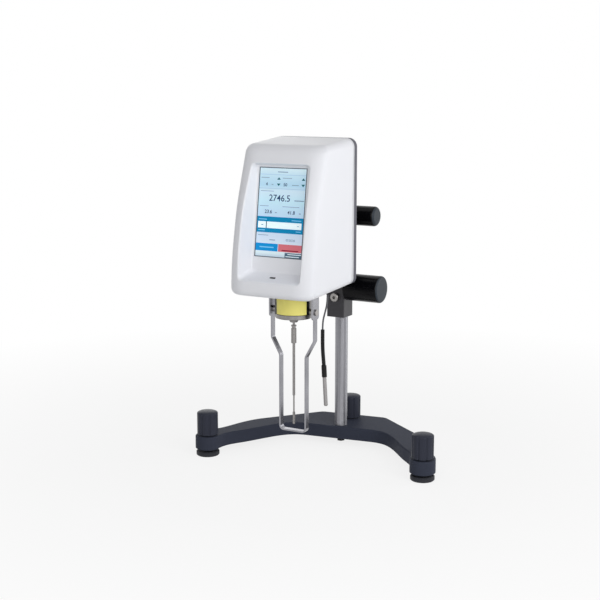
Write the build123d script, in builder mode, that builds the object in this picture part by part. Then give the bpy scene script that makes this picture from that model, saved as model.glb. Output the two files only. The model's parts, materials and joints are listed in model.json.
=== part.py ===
"""Rotational viscometer: levelling base, rack column, sliding head carriage and spindle drive.

Units are millimetres.  +X is the operator's right, -Y the front and +Z up.  The origin lies on the
bench under the middle of the instrument's box, and every place below is worked out from it.
"""

from build123d import *
from math import acos, cos, pi, radians, sin, sqrt, tan
import os

# ---------------------------------------------------------------- driving dimensions
# Levelling base
base_yaw = 8.36                  # how far the base stands turned about the column, degrees
foot_half_span = 144.7           # column plane to a front foot, sideways
foot_forward = 110.1             # column axis to the line of the front feet
rear_foot_back = 39.2            # column axis to the rear foot
boss_radius = 16.0
base_bottom_z = 10.0
base_top_z = 26.6
boss_drop = 1.3                  # how far the foot bosses reach below the arms
web_front = 12.5                 # column axis to the front edge of the web
web_front_half = 45.0
web_rear = 54.0                  # column axis to the rear edge of the web
web_rear_half = 46.0
base_edge_radius = 1.6
rear_corner_radius = 14.0
arm_inner_bend = (0.40, 81.0)    # inner edge of an arm: share of its run from the web, and length behind its foot
arm_inner_knee = (0.79, 35.0)
arm_outer_bend = (34.7, 100.1)   # outer edge of an arm, inward of and behind its foot
arm_outer_knee = (18.7, 77.0)
arm_outer_wrist = (0.5, 35.0)

# Levelling feet
thread_radius = 3.95             # M8 stud
thread_pitch = 1.25
thread_clearance = 0.08
stud_end_gap = 0.2               # between a stud's end and the floor of its socket
stud_chamfer = 0.5
pad_radius = 15.0
pad_height = 6.2
pad_chamfer = 1.2
pad_socket_depth = 3.4
foot_knob_radius = 13.5
foot_knob_gap = 1.6              # under a knob when the instrument stands level
foot_knob_height = 30.9
foot_knob_crown = 4.0
flute_count = 8
flute_radius = 3.0
flute_depth = 0.8
stud_grip = 18.0                 # length of stud held in the knob

# Column and rack
column_radius = 8.4
column_top_z = 400.0
column_seat_z = 14.6             # floor of the column's socket in the base
socket_clearance = 0.05
running_clearance = 0.05
column_chamfer = 1.0
rack_module = 0.8
rack_low_z = 176.0
rack_high_z = 300.0
rack_pitch_depth = 6.4           # column axis to the rack's pitch line
rack_addendum = 0.45
rack_dedendum = 1.0
rack_backlash = 0.12
pressure_angle = 20.0
cap_radius = 9.6
cap_height = 4.0
cap_plug_radius = 4.0
cap_plug_depth = 10.0
cap_edge_radius = 1.3
bolt_radius = 3.0
bolt_clearance = 0.3
bolt_reach = 12.0                # thread length inside the column
bolt_head_radius = 5.4
bolt_head_height = 4.0
washer_radius = 7.5
washer_thickness = 1.2

# Lift bracket: sleeve on the column and the arm that carries the head
bracket_half_width = 12.6
bracket_front = 18.0             # column axis to the front face
bracket_rear = 13.5
bracket_low_z = 175.6
bracket_high_z = 325.0
bracket_corner = 9.4
bracket_edge = 1.5
bush_wall = 1.6
bush_length = 18.0
bush_inset = 2.0
lower_bush_z = 178.0
upper_bush_z = 266.0
slit_width = 2.0
slit_low_z = 297.0
arm_half_width = 11.0
arm_low_z = 246.0
arm_height = 42.0
arm_wall = 5.0
flange_half_width = 24.0
flange_low_z = 238.0
flange_high_z = 296.0
flange_thickness = 6.0
flange_corner = 6.0
mount_screw_radius = 2.5
mount_screw_inset = 6.5
mount_head_radius = 4.2
mount_head_height = 5.0
gib_screw_z = 202.0
gib_screw_radius = 3.0
gib_screw_length = 6.0
gib_head_radius = 5.5
gib_head_height = 4.0
gib_head_chamfer = 0.4
hex_socket_radius = 2.4
hex_socket_depth = 2.4

# Lift pinion and its knob
pinion_teeth = 10
pinion_z = 216.0
pinion_addendum = 0.8
pinion_dedendum = 1.0
tooth_root_sink = 0.4            # how far a pinion tooth runs into the hub
pinion_face = 9.0
pinion_pocket_gap = 0.7
pinion_shaft_radius = 2.4
pinion_bush_radius = 4.2
pinion_bush_length = 5.6
pinion_flange_radius = 6.0
pinion_flange_thickness = 1.8
lift_knob_radius = 17.5
lift_knob_length = 49.0
lift_knob_gap = 0.6
lift_knob_crown = 3.0
lift_knob_heel = 1.0
shaft_grip = 24.0
clip_radius = 4.2
clip_thickness = 0.8
clip_mouth = 3.4

# Clamp
clamp_z = 310.0
clamp_screw_ahead = 12.2         # column axis to the clamp screw
clamp_screw_radius = 2.5
clamp_knob_radius = 12.7
clamp_knob_end = 57.0            # outer end of the knob from the column plane
clamp_knob_length = 38.0
clamp_knob_crown = 4.5
clamp_knob_heel = 1.5
clamp_neck_radius = 7.0
clamp_knob_gap = 0.4
clamp_grip = 20.0
clamp_screw_chamfer = 0.5

# Head
column_behind = 126.0            # spindle axis to column axis
head_half_width = 57.0
head_wall = 3.0
shell_rear = 49.0                # spindle axis to the joint with the rear cover
cover_depth = 10.0
head_bottom_front_z = 225.5
head_bottom_rear_z = 232.5
head_top_front_z = 406.0
head_top_rear_z = 412.5
front_reach_low = 62.0           # spindle axis to the front face low on the head
front_reach_top = 23.5
front_curve = ((62.0, 240.0), (60.3, 263.0), (56.0, 292.0), (48.0, 330.0), (36.6, 367.0))
front_corner_radius = 12.0
top_edge_radius = 11.0
bottom_edge_radius = 8.0
cover_edge_radius = 4.0
boss_post_radius = 4.6
boss_post_depth = 22.0
cover_screw_radius = 1.5
cover_screw_length = 14.0
cover_screw_head_radius = 2.9
cover_screw_head_height = 1.8
cross_length = 3.8               # recess in the head of a cover screw
cross_width = 0.9
cover_screw_side = 49.8
cover_screw_low_z = 243.5
cover_screw_high_z = 400.5

# Display
screen_centre_ahead = 31.6       # spindle axis to the middle of the screen
screen_centre_z = 325.3
screen_lean = 7.7
screen_width = 66.2
screen_height = 108.0
glass_thickness = 1.8
glass_margin = 3.0               # how far the glass reaches past the opening behind the shell
opening_fit = 0.15               # round the glass in its opening
glass_step = 0.4                 # how far the glass lies below the recess floor
module_thickness = 4.0
gasket_thickness = 0.6
recess_floor_half = 35.6
recess_rim_half = 42.5
recess_floor_low = -72.5         # along the screen from its middle
recess_floor_high = 56.0
recess_rim_low = -81.7
recess_rim_high = 60.5
rim_lean = 10.4
rim_centre_ahead = 46.5
recess_corner = 5.0
recess_reach = 20.0              # how far the cutter runs on past its rim
slot_length = 8.0
slot_width = 2.0
slot_z = 249.0

# Chassis and drive inside the head
chassis_thickness = 3.0
chassis_half_width = 40.0
chassis_gap = 0.4                # between the chassis and the rear cover's front plane
chassis_low_z = 238.0
chassis_high_z = 396.0
chassis_front = 26.0             # spindle axis to the front edge of the chassis floor
chassis_corner = 3.0
motor_plate_z = 296.0
motor_plate_thickness = 4.0
motor_plate_half = 24.0
motor_plate_corner = 3.0
motor_plate_bore_gap = 1.0
standoff_radius = 3.0
standoff_reach = 20.0
motor_half = 17.6
motor_height = 24.0
motor_corner = 3.0
motor_chamfer = 0.8
motor_shaft_drop = 1.0           # motor's top to the shaft's end
motor_shaft_radius = 2.5
drive_disc_radius = 14.0
drive_disc_thickness = 2.0
drive_disc_z = 286.0
spring_start_radius = 3.6
spring_half_turns = 9
spring_step = 0.75               # growth of the radius in each half turn
spring_strip = 0.3
spring_height = 2.0
spring_z = 279.0
spring_post_radius = 0.6
signal_disc_radius = 14.0
signal_disc_thickness = 1.0
signal_disc_z = 266.0
signal_slots = 24
signal_slot_width = 1.2
signal_slot_length = 3.0
disc_hub_radius = 3.4
disc_hub_height = 3.0
pivot_radius = 1.5
bearing_radius = 6.5
bearing_height = 4.0
bearing_outer_race = 5.2
bearing_inner_race = 3.25
bearing_groove = 0.5
board_half_width = 33.0
board_low_z = 300.0
board_high_z = 390.0
board_thickness = 1.6
board_standoff = 5.0
board_post_radius = 2.5
board_corner = 2.0
board_post_side = 5.0            # edge of the board to a spacer
board_post_end = 6.0

# Gauge cylinder, band, guard and spindle
cylinder_radius = 23.2
cylinder_wall = 1.6
cylinder_low_z = 193.6
cylinder_chamfer = 0.8
cylinder_bore_gap = 1.5          # round the pivot in the cylinder's floor
band_thickness = 0.25
band_fit = 0.05                  # film of adhesive under the band
band_low_z = 199.0
band_high_z = 223.0
band_from = -144.2               # ends of the band about the cylinder, degrees from +X
band_to = -8.2
cup_radius = 7.2
cup_low_z = 187.5
cup_taper_radius = 4.6
cup_rim_height = 2.0
coupling_radius = 3.3
coupling_low_z = 161.0
coupling_high_z = 184.0
coupling_neck_radius = 2.3
coupling_neck_height = 4.0
coupling_chamfer = 0.4
spindle_rod_radius = 1.7
spindle_neck_radius = 0.95
spindle_tip_radius = 1.65
spindle_neck_high_z = 94.0
spindle_neck_low_z = 73.0
spindle_neck_taper = 1.0
spindle_tip_taper = 0.6
spindle_tip_z = 58.1
guard_thickness = 2.0
guard_width = 7.4
guard_outer_half = 31.0
guard_inner_half = 19.2
guard_bend_high_z = 166.0
guard_bend_low_z = 145.0
guard_bottom_z = 48.8
guard_corner = 6.0
guard_tab_low_z = 193.0
guard_tab_high_z = 223.0
guard_tab_width = 16.0
guard_tab_corner = 4.0
stud_z = 202.0
stud_shoulder_radius = 4.0
stud_neck_radius = 2.6
stud_head_radius = 3.9
stud_head_height = 1.6
stud_shank_radius = 2.0
stud_fit = 0.1
stud_shoulder_gap = 0.3          # between a stud's shoulder and the cylinder

# Temperature probe
gland_x = 28.6
gland_behind = 34.0              # spindle axis to the probe's gland
gland_low_z = 220.0
gland_radius = 4.4
gland_thread_radius = 3.2
gland_thread_length = 6.0
gland_seat_gap = 0.3             # between the gland and the head's underside
cable_radius = 1.1
bend_share = 0.45                # share of a run that an arc at its end may take
cable_route = ((28.6, 220.0), (28.6, 209.0), (25.2, 196.0), (21.9, 184.5), (21.9, 174.0))
sleeve_radius = 2.4
sleeve_route = ((21.9, 174.0), (21.9, 150.0), (23.8, 129.0))
ferrule_radius = 3.25
ferrule_length = 15.4
ferrule_gap = 0.3                # between the sleeve's end and the ferrule
ferrule_chamfer = 0.4
probe_radius = 2.5
probe_tip_radius = 1.75
probe_tip_x = 26.9
probe_tip_z = 76.4

# Rear connections
switch_x = 38.0
switch_z = 268.0
rocker_width = 9.0
rocker_height = 16.0
rocker_proud = 2.0
rocker_end_drop = 1.4            # how far the rocker's ends and middle lie below its highest point
rocker_mid_drop = 2.0
rocker_belly = 3.2               # pivot to the rocker's back
rocker_pivot_depth = 2.0
rocker_gap = 0.4
bezel_width = 13.0
bezel_height = 20.0
bezel_proud = 1.5
bezel_depth = 9.0
bezel_lip = 1.0                  # how far the bezel covers its opening's edge
bezel_fit = 0.1
bezel_corner = 1.5
bezel_floor = 1.5
inlet_radius = 5.5
inlet_flange = 7.5
inlet_depth = 9.0
inlet_proud = 1.6
inlet_bore = 3.2
inlet_pin = 1.0
inlet_floor = 1.5

# How far a cut runs past the face it opens, and a bound outside the whole instrument
overrun = 1.0
out_of_reach = 1000.0

os.makedirs("parts", exist_ok=True)


def save(builder, name):
    """Label the finished piece and write it to its own file."""
    builder.part.label = name
    export_step(builder.part, f"parts/{name}.step")


# ---------------------------------------------------------------- base outline and origin
def foot_place(inward, behind):
    """Point of an arm's edge, given inward of and behind the right front foot."""
    return (foot_half_span - inward, -foot_forward + behind)


def inner_edge(share, behind):
    """Point of an arm's inner edge, at a share of the run from the web to the foot's boss."""
    run = foot_half_span - boss_radius - web_front_half
    return (web_front_half + share * run, -foot_forward + behind)


inner_start = (web_front_half, -web_front)
inner_end = (foot_half_span - boss_radius, -foot_forward)
outer_end = (foot_half_span + boss_radius, -foot_forward)
rear_corner = (web_rear_half, web_rear)
outer_bend = foot_place(*arm_outer_bend)

with BuildSketch() as base_outline:
    with BuildLine():
        Line((0, -web_front), inner_start)
        Spline(
            inner_start, inner_edge(*arm_inner_bend), inner_edge(*arm_inner_knee), inner_end,
            tangents=[(1, 0), (0.1, -1)],
        )
        Line(inner_end, outer_end)
        Spline(
            outer_end, foot_place(*arm_outer_wrist), foot_place(*arm_outer_knee), outer_bend,
            tangents=[(-0.1, 1), (rear_corner[0] - outer_bend[0], rear_corner[1] - outer_bend[1])],
        )
        Line(outer_bend, rear_corner)
        Line(rear_corner, (0, web_rear))
        Line((0, web_rear), (0, -web_front))
    make_face()
    mirror(about=Plane.YZ)
    fillet(base_outline.vertices().filter_by_position(Axis.Y, web_rear - overrun, web_rear + overrun)
           .filter_by_position(Axis.X, -out_of_reach, -overrun), rear_corner_radius)
    fillet(base_outline.vertices().filter_by_position(Axis.Y, web_rear - overrun, web_rear + overrun)
           .filter_by_position(Axis.X, overrun, out_of_reach), rear_corner_radius)
    with Locations((foot_half_span, -foot_forward), (-foot_half_span, -foot_forward)):
        Circle(boss_radius)

footprint = base_outline.sketch.rotate(Axis.Z, base_yaw).bounding_box()
column_x = -(footprint.min.X + footprint.max.X) / 2
column_y = (column_behind + front_reach_low - footprint.max.Y) / 2
spindle_x = column_x
spindle_y = column_y - column_behind

base_plane = Plane(
    origin=(column_x, column_y, 0),
    x_dir=(cos(radians(base_yaw)), sin(radians(base_yaw)), 0),
    z_dir=(0, 0, 1),
)
foot_points = {
    "left": (-foot_half_span, -foot_forward),
    "right": (foot_half_span, -foot_forward),
    "rear": (0, rear_foot_back),
}


def level(z):
    """Horizontal plane through the spindle axis at height z."""
    return Plane(origin=(spindle_x, spindle_y, z), x_dir=(1, 0, 0), z_dir=(0, 0, 1))


def column_level(z):
    """Horizontal plane through the column axis at height z."""
    return Plane(origin=(column_x, column_y, z), x_dir=(1, 0, 0), z_dir=(0, 0, 1))


def base_level(z):
    """Horizontal plane through the column axis at height z, turned with the base."""
    return base_plane.offset(z)


def facing_front(behind):
    """Upright plane square to Y, behind the spindle axis by the given length, facing the front."""
    return Plane(origin=(spindle_x, spindle_y + behind, 0), x_dir=(1, 0, 0), z_dir=(0, -1, 0))


def facing_rear(behind):
    """Upright plane square to Y that extrudes to the rear; its local x runs along -X."""
    return Plane(origin=(spindle_x, spindle_y + behind, 0), x_dir=(-1, 0, 0), z_dir=(0, 1, 0))


def facing_right(x, behind=0.0):
    """Upright plane square to X; local x is +Y from the spindle axis and local y is +Z."""
    return Plane(origin=(spindle_x + x, spindle_y + behind, 0), x_dir=(0, 1, 0), z_dir=(1, 0, 0))


# ---------------------------------------------------------------- base casting
with BuildPart() as base_casting:
    with BuildSketch(base_level(base_bottom_z)):
        add(base_outline.sketch)
    extrude(amount=base_top_z - base_bottom_z)
    fillet(base_casting.faces().sort_by(Axis.Z)[-1].edges(), base_edge_radius)
    with BuildSketch(base_level(base_bottom_z - boss_drop)):
        with Locations(*foot_points.values()):
            Circle(boss_radius - base_edge_radius)
    extrude(amount=boss_drop + overrun)
    with BuildSketch(base_level(base_bottom_z - boss_drop)):
        with Locations(*foot_points.values()):
            Circle(thread_radius + thread_clearance)
    extrude(amount=base_top_z - base_bottom_z + boss_drop + overrun, mode=Mode.SUBTRACT)
    with BuildSketch(base_level(column_seat_z)):
        Circle(column_radius + socket_clearance)
    extrude(amount=base_top_z - column_seat_z + overrun, mode=Mode.SUBTRACT)
    with BuildSketch(base_level(base_bottom_z)):
        Circle(bolt_radius + bolt_clearance)
    extrude(amount=column_seat_z - base_bottom_z + overrun, mode=Mode.SUBTRACT)
save(base_casting, "base_casting")

# ---------------------------------------------------------------- levelling feet
boss_bottom_z = base_bottom_z - boss_drop
foot_knob_z = base_top_z + foot_knob_gap
stud_low_z = pad_height - pad_socket_depth + stud_end_gap
flute_ring = foot_knob_radius + flute_radius - flute_depth


def levelling_foot(side, place):
    """Pad, stud and knob of one levelling foot."""
    with BuildPart() as pad:
        with BuildSketch(base_level(0)):
            with Locations(place):
                Circle(pad_radius)
        extrude(amount=pad_height)
        chamfer(pad.edges().filter_by(GeomType.CIRCLE), pad_chamfer)
        with BuildSketch(base_level(pad_height - pad_socket_depth)):
            with Locations(place):
                Circle(thread_radius + thread_clearance)
        extrude(amount=pad_socket_depth + overrun, mode=Mode.SUBTRACT)
    save(pad, f"{side}_foot_pad")

    with BuildPart() as stud:
        with BuildSketch(base_level(stud_low_z)):
            with Locations(place):
                Circle(thread_radius)
        extrude(amount=foot_knob_z + stud_grip - stud_low_z)
        chamfer(stud.edges().filter_by(GeomType.CIRCLE), stud_chamfer)
    save(stud, f"{side}_foot_stud")

    with BuildPart() as knob:
        with BuildSketch(base_level(foot_knob_z)):
            with Locations(place):
                Circle(foot_knob_radius)
        extrude(amount=foot_knob_height)
        fillet(knob.edges().filter_by(GeomType.CIRCLE).sort_by(Axis.Z)[-1], foot_knob_crown)
        with BuildSketch(base_level(foot_knob_z)):
            with Locations(place):
                with PolarLocations(flute_ring, flute_count):
                    Circle(flute_radius)
        extrude(amount=foot_knob_height + overrun, mode=Mode.SUBTRACT)
        with BuildSketch(base_level(foot_knob_z)):
            with Locations(place):
                Circle(thread_radius)
        extrude(amount=stud_grip, mode=Mode.SUBTRACT)
    save(knob, f"{side}_foot_knob")


for foot_side, foot_point in foot_points.items():
    levelling_foot(foot_side, foot_point)

# ---------------------------------------------------------------- column with its rack
rack_pitch = pi * rack_module
rack_tip_depth = rack_pitch_depth + rack_addendum
rack_root_depth = rack_pitch_depth - rack_dedendum
tooth_flank = tan(radians(pressure_angle))
rack_half_tooth = rack_pitch / 4 - rack_backlash / 2
space_half_tip = rack_pitch / 2 - rack_half_tooth + rack_addendum * tooth_flank
space_half_root = rack_pitch / 2 - rack_half_tooth - rack_dedendum * tooth_flank
rack_spaces_below = int((pinion_z - rack_low_z) / rack_pitch)
rack_spaces_above = int((rack_high_z - pinion_z) / rack_pitch)

with BuildPart() as column_rod:
    with BuildSketch(column_level(column_seat_z)):
        Circle(column_radius)
    extrude(amount=column_top_z - column_seat_z)
    chamfer(column_rod.edges().filter_by(GeomType.CIRCLE).sort_by(Axis.Z)[-1], column_chamfer)
    with BuildSketch(column_level(rack_low_z)):
        with Locations((0, -rack_tip_depth)):
            Rectangle(2 * column_radius, column_radius, align=(Align.CENTER, Align.MAX))
    extrude(amount=rack_high_z - rack_low_z, mode=Mode.SUBTRACT)
    with BuildSketch(Plane(origin=(column_x - column_radius, column_y, pinion_z), x_dir=(0, 1, 0), z_dir=(1, 0, 0))):
        for space in range(-rack_spaces_below, rack_spaces_above + 1):
            with BuildLine():
                Polyline(
                    (-rack_tip_depth, space * rack_pitch - space_half_tip),
                    (-rack_root_depth, space * rack_pitch - space_half_root),
                    (-rack_root_depth, space * rack_pitch + space_half_root),
                    (-rack_tip_depth, space * rack_pitch + space_half_tip),
                    close=True,
                )
            make_face()
    extrude(amount=2 * column_radius, mode=Mode.SUBTRACT)
    with BuildSketch(column_level(column_seat_z)):
        Circle(bolt_radius)
    extrude(amount=bolt_reach, mode=Mode.SUBTRACT)
    with BuildSketch(column_level(column_top_z - cap_plug_depth)):
        Circle(cap_plug_radius)
    extrude(amount=cap_plug_depth + overrun, mode=Mode.SUBTRACT)
save(column_rod, "column_rod")

with BuildPart() as column_cap:
    with BuildSketch(column_level(column_top_z)):
        Circle(cap_radius)
    extrude(amount=cap_height)
    fillet(column_cap.edges().filter_by(GeomType.CIRCLE).sort_by(Axis.Z)[-1], cap_edge_radius)
    with BuildSketch(column_level(column_top_z - cap_plug_depth)):
        Circle(cap_plug_radius)
    extrude(amount=cap_plug_depth)
save(column_cap, "column_cap")

with BuildPart() as column_washer:
    with BuildSketch(column_level(base_bottom_z - washer_thickness)):
        Circle(washer_radius)
        Circle(bolt_radius + bolt_clearance, mode=Mode.SUBTRACT)
    extrude(amount=washer_thickness)
save(column_washer, "column_washer")

bolt_head_top_z = base_bottom_z - washer_thickness
with BuildPart() as column_bolt:
    with BuildSketch(column_level(bolt_head_top_z - bolt_head_height)):
        RegularPolygon(bolt_head_radius, 6)
    extrude(amount=bolt_head_height)
    with BuildSketch(column_level(bolt_head_top_z)):
        Circle(bolt_radius)
    extrude(amount=column_seat_z + bolt_reach - bolt_head_top_z)
save(column_bolt, "column_bolt")

# ---------------------------------------------------------------- lift bracket
bush_radius = column_radius + running_clearance + bush_wall
pinion_pitch_radius = rack_module * pinion_teeth / 2
pinion_ahead = rack_pitch_depth + pinion_pitch_radius
pinion_tip_radius = pinion_pitch_radius + pinion_addendum
pinion_axis_y = column_behind - pinion_ahead
clamp_axis_y = column_behind - clamp_screw_ahead
bracket_face_y = column_behind - bracket_front
cover_face_y = shell_rear + cover_depth
clamp_knob_start = clamp_knob_end - clamp_knob_length


def pinion_section(x):
    """Upright plane square to X through the pinion axis."""
    return Plane(origin=(column_x + x, spindle_y + pinion_axis_y, pinion_z), x_dir=(0, 1, 0), z_dir=(1, 0, 0))


def clamp_section(x):
    """Upright plane square to X through the clamp screw's axis."""
    return Plane(origin=(column_x + x, spindle_y + clamp_axis_y, clamp_z), x_dir=(0, 1, 0), z_dir=(1, 0, 0))


flange_mid_z = (flange_low_z + flange_high_z) / 2
arm_mid_z = arm_low_z + arm_height / 2
pocket_mid_y = (cover_face_y + flange_thickness + bracket_face_y) / 2
pocket_length = bracket_face_y - cover_face_y - flange_thickness - 2 * arm_wall
mount_screw_points = [
    (side * (flange_half_width - mount_screw_inset), z)
    for side in (-1, 1)
    for z in (flange_low_z + mount_screw_inset, flange_high_z - mount_screw_inset)
]

with BuildPart() as lift_bracket:
    with BuildSketch(column_level(bracket_low_z)):
        with Locations((0, (bracket_rear - bracket_front) / 2)):
            Rectangle(2 * bracket_half_width, bracket_front + bracket_rear)
    extrude(amount=bracket_high_z - bracket_low_z)
    upright = lift_bracket.edges().filter_by(Axis.Z).sort_by(Axis.Y)
    fillet(upright[-2:], bracket_corner)
    fillet(upright[:2], bracket_edge)
    with BuildSketch(facing_front(bracket_face_y)):
        with Locations((0, arm_mid_z)):
            RectangleRounded(2 * arm_half_width, arm_height, bracket_edge)
    extrude(amount=bracket_face_y - cover_face_y)
    with BuildSketch(facing_front(cover_face_y + flange_thickness)):
        with Locations((0, flange_mid_z)):
            RectangleRounded(2 * flange_half_width, flange_high_z - flange_low_z, flange_corner)
    extrude(amount=flange_thickness)
    for pocket_x in (-arm_half_width, arm_wall / 2):
        with BuildSketch(facing_right(pocket_x)):
            with Locations((pocket_mid_y, arm_mid_z)):
                RectangleRounded(pocket_length, arm_height - 2 * arm_wall, bracket_edge)
        extrude(amount=arm_half_width - arm_wall / 2, mode=Mode.SUBTRACT)
    with BuildSketch(column_level(bracket_low_z)):
        Circle(column_radius + 4 * running_clearance)
    extrude(amount=bracket_high_z - bracket_low_z, mode=Mode.SUBTRACT)
    for bush_z in (lower_bush_z, upper_bush_z):
        with BuildSketch(column_level(bush_z)):
            Circle(bush_radius + running_clearance)
        extrude(amount=bush_length, mode=Mode.SUBTRACT)
    with BuildSketch(pinion_section(-pinion_face / 2 - pinion_pocket_gap)):
        Circle(pinion_tip_radius + pinion_pocket_gap)
    extrude(amount=pinion_face + 2 * pinion_pocket_gap, mode=Mode.SUBTRACT)
    with BuildSketch(pinion_section(-bracket_half_width)):
        Circle(pinion_bush_radius + running_clearance)
    extrude(amount=2 * bracket_half_width, mode=Mode.SUBTRACT)
    with BuildSketch(column_level(slit_low_z)):
        Rectangle(slit_width, bracket_front + overrun, align=(Align.CENTER, Align.MAX))
    extrude(amount=bracket_high_z - slit_low_z, mode=Mode.SUBTRACT)
    with BuildSketch(clamp_section(-bracket_half_width)):
        Circle(clamp_screw_radius + 2 * running_clearance)
    extrude(amount=2 * bracket_half_width, mode=Mode.SUBTRACT)
    with BuildSketch(facing_front(bracket_face_y + gib_screw_length)):
        with Locations((0, gib_screw_z)):
            Circle(gib_screw_radius)
    extrude(amount=gib_screw_length, mode=Mode.SUBTRACT)
    with BuildSketch(facing_front(cover_face_y + flange_thickness)):
        with Locations(*mount_screw_points):
            Circle(mount_screw_radius + running_clearance)
    extrude(amount=flange_thickness, mode=Mode.SUBTRACT)
save(lift_bracket, "lift_bracket")

with BuildPart() as guide_bushes:
    for bush_z in (lower_bush_z, upper_bush_z):
        with BuildSketch(column_level(bush_z + running_clearance)):
            Circle(bush_radius)
            Circle(column_radius + running_clearance, mode=Mode.SUBTRACT)
        extrude(amount=bush_length - 2 * running_clearance)
save(guide_bushes, "guide_bushes")

with BuildPart() as gib_screw:
    with BuildSketch(facing_front(bracket_face_y)):
        with Locations((0, gib_screw_z)):
            Circle(gib_head_radius)
    extrude(amount=gib_head_height)
    chamfer(gib_screw.faces().sort_by(Axis.Y)[0].edges(), gib_head_chamfer)
    with BuildSketch(facing_front(bracket_face_y - gib_head_height + hex_socket_depth)):
        with Locations((0, gib_screw_z)):
            RegularPolygon(hex_socket_radius, 6)
    extrude(amount=hex_socket_depth, mode=Mode.SUBTRACT)
    with BuildSketch(facing_front(bracket_face_y + gib_screw_length)):
        with Locations((0, gib_screw_z)):
            Circle(gib_screw_radius)
    extrude(amount=gib_screw_length)
save(gib_screw, "gib_screw")

with BuildPart() as mounting_screws:
    with BuildSketch(facing_front(cover_face_y + flange_thickness + mount_head_height)):
        with Locations(*mount_screw_points):
            Circle(mount_head_radius)
            RegularPolygon(hex_socket_radius, 6, mode=Mode.SUBTRACT)
    extrude(amount=mount_head_height / 2)
    with BuildSketch(facing_front(cover_face_y + flange_thickness + mount_head_height / 2)):
        with Locations(*mount_screw_points):
            Circle(mount_head_radius)
    extrude(amount=mount_head_height / 2)
    with BuildSketch(facing_front(cover_face_y + flange_thickness)):
        with Locations(*mount_screw_points):
            Circle(mount_screw_radius)
    extrude(amount=flange_thickness + cover_depth + chassis_gap + chassis_thickness)
save(mounting_screws, "mounting_screws")

# ---------------------------------------------------------------- lift pinion, shaft and knob
bush_inner_x = bracket_half_width - pinion_bush_length
bush_outer_x = bracket_half_width + pinion_flange_thickness
lift_knob_x = bush_outer_x + lift_knob_gap
pinion_half_tooth = rack_pitch / 4 - rack_backlash / 2


def involute_roll(base_radius, radius):
    """Roll angle, in radians, at which an involute off base_radius reaches radius."""
    return sqrt(max((radius / base_radius) ** 2 - 1, 0))


def flank_angle(radius):
    """Half angle of a pinion tooth at the given radius, in radians."""
    base_radius = pinion_pitch_radius * cos(radians(pressure_angle))
    pitch_roll = involute_roll(base_radius, pinion_pitch_radius)
    pitch_spread = pitch_roll - acos(base_radius / pinion_pitch_radius)
    at = max(radius, base_radius)
    spread = involute_roll(base_radius, at) - acos(base_radius / at)
    return pinion_half_tooth / pinion_pitch_radius + pitch_spread - spread


def tooth_point(radius, side):
    """Point of a pinion tooth's flank; the tooth points along local +x."""
    angle = side * flank_angle(radius)
    return (radius * cos(angle), radius * sin(angle))


pinion_root_radius = pinion_pitch_radius - pinion_dedendum
flank_radii = [pinion_root_radius - tooth_root_sink, pinion_pitch_radius * cos(radians(pressure_angle)),
               pinion_pitch_radius, (pinion_pitch_radius + pinion_tip_radius) / 2, pinion_tip_radius]

with BuildSketch() as pinion_tooth:
    with BuildLine():
        Polyline(
            *[tooth_point(radius, -1) for radius in flank_radii],
            *[tooth_point(radius, 1) for radius in reversed(flank_radii)],
            close=True,
        )
    make_face()

with BuildPart() as lift_pinion:
    with BuildSketch(pinion_section(-pinion_face / 2)):
        Circle(pinion_root_radius)
        with PolarLocations(0, pinion_teeth):
            add(pinion_tooth.sketch)
    extrude(amount=pinion_face)
    with BuildSketch(pinion_section(-pinion_face / 2)):
        Circle(pinion_shaft_radius)
    extrude(amount=pinion_face, mode=Mode.SUBTRACT)
save(lift_pinion, "lift_pinion")

with BuildPart() as pinion_shaft:
    with BuildSketch(pinion_section(-bush_outer_x - 2 * clip_thickness)):
        Circle(pinion_shaft_radius)
    extrude(amount=bush_outer_x + 2 * clip_thickness + lift_knob_x + shaft_grip)
save(pinion_shaft, "pinion_shaft")

with BuildPart() as shaft_clip:
    with BuildSketch(pinion_section(-bush_outer_x - 1.5 * clip_thickness)):
        Circle(clip_radius)
        Circle(pinion_shaft_radius, mode=Mode.SUBTRACT)
        Rectangle(clip_radius, clip_mouth, align=(Align.MIN, Align.CENTER), mode=Mode.SUBTRACT)
    extrude(amount=clip_thickness)
save(shaft_clip, "shaft_clip")

with BuildPart() as pinion_bushes:
    for sleeve_x, flange_x in ((-bracket_half_width, -bush_outer_x), (bush_inner_x, bracket_half_width)):
        with BuildSketch(pinion_section(sleeve_x)):
            Circle(pinion_bush_radius)
        extrude(amount=pinion_bush_length)
        with BuildSketch(pinion_section(flange_x)):
            Circle(pinion_flange_radius)
        extrude(amount=pinion_flange_thickness)
    with BuildSketch(pinion_section(-bush_outer_x)):
        Circle(pinion_shaft_radius + running_clearance)
    extrude(amount=2 * bush_outer_x, mode=Mode.SUBTRACT)
save(pinion_bushes, "pinion_bushes")

with BuildPart() as lift_knob:
    with BuildSketch(pinion_section(lift_knob_x)):
        Circle(lift_knob_radius)
    extrude(amount=lift_knob_length)
    fillet(lift_knob.edges().filter_by(GeomType.CIRCLE).sort_by(Axis.X)[-1], lift_knob_crown)
    fillet(lift_knob.edges().filter_by(GeomType.CIRCLE).sort_by(Axis.X)[0], lift_knob_heel)
    with BuildSketch(pinion_section(lift_knob_x)):
        Circle(pinion_shaft_radius)
    extrude(amount=shaft_grip, mode=Mode.SUBTRACT)
save(lift_knob, "lift_knob")

# ---------------------------------------------------------------- clamp
clamp_neck_x = bracket_half_width + clamp_knob_gap

with BuildPart() as clamp_screw:
    with BuildSketch(clamp_section(-bracket_half_width)):
        Circle(clamp_screw_radius)
    extrude(amount=bracket_half_width + clamp_knob_start + clamp_grip)
    chamfer(clamp_screw.edges().filter_by(GeomType.CIRCLE).sort_by(Axis.X)[0], clamp_screw_chamfer)
save(clamp_screw, "clamp_screw")

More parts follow.
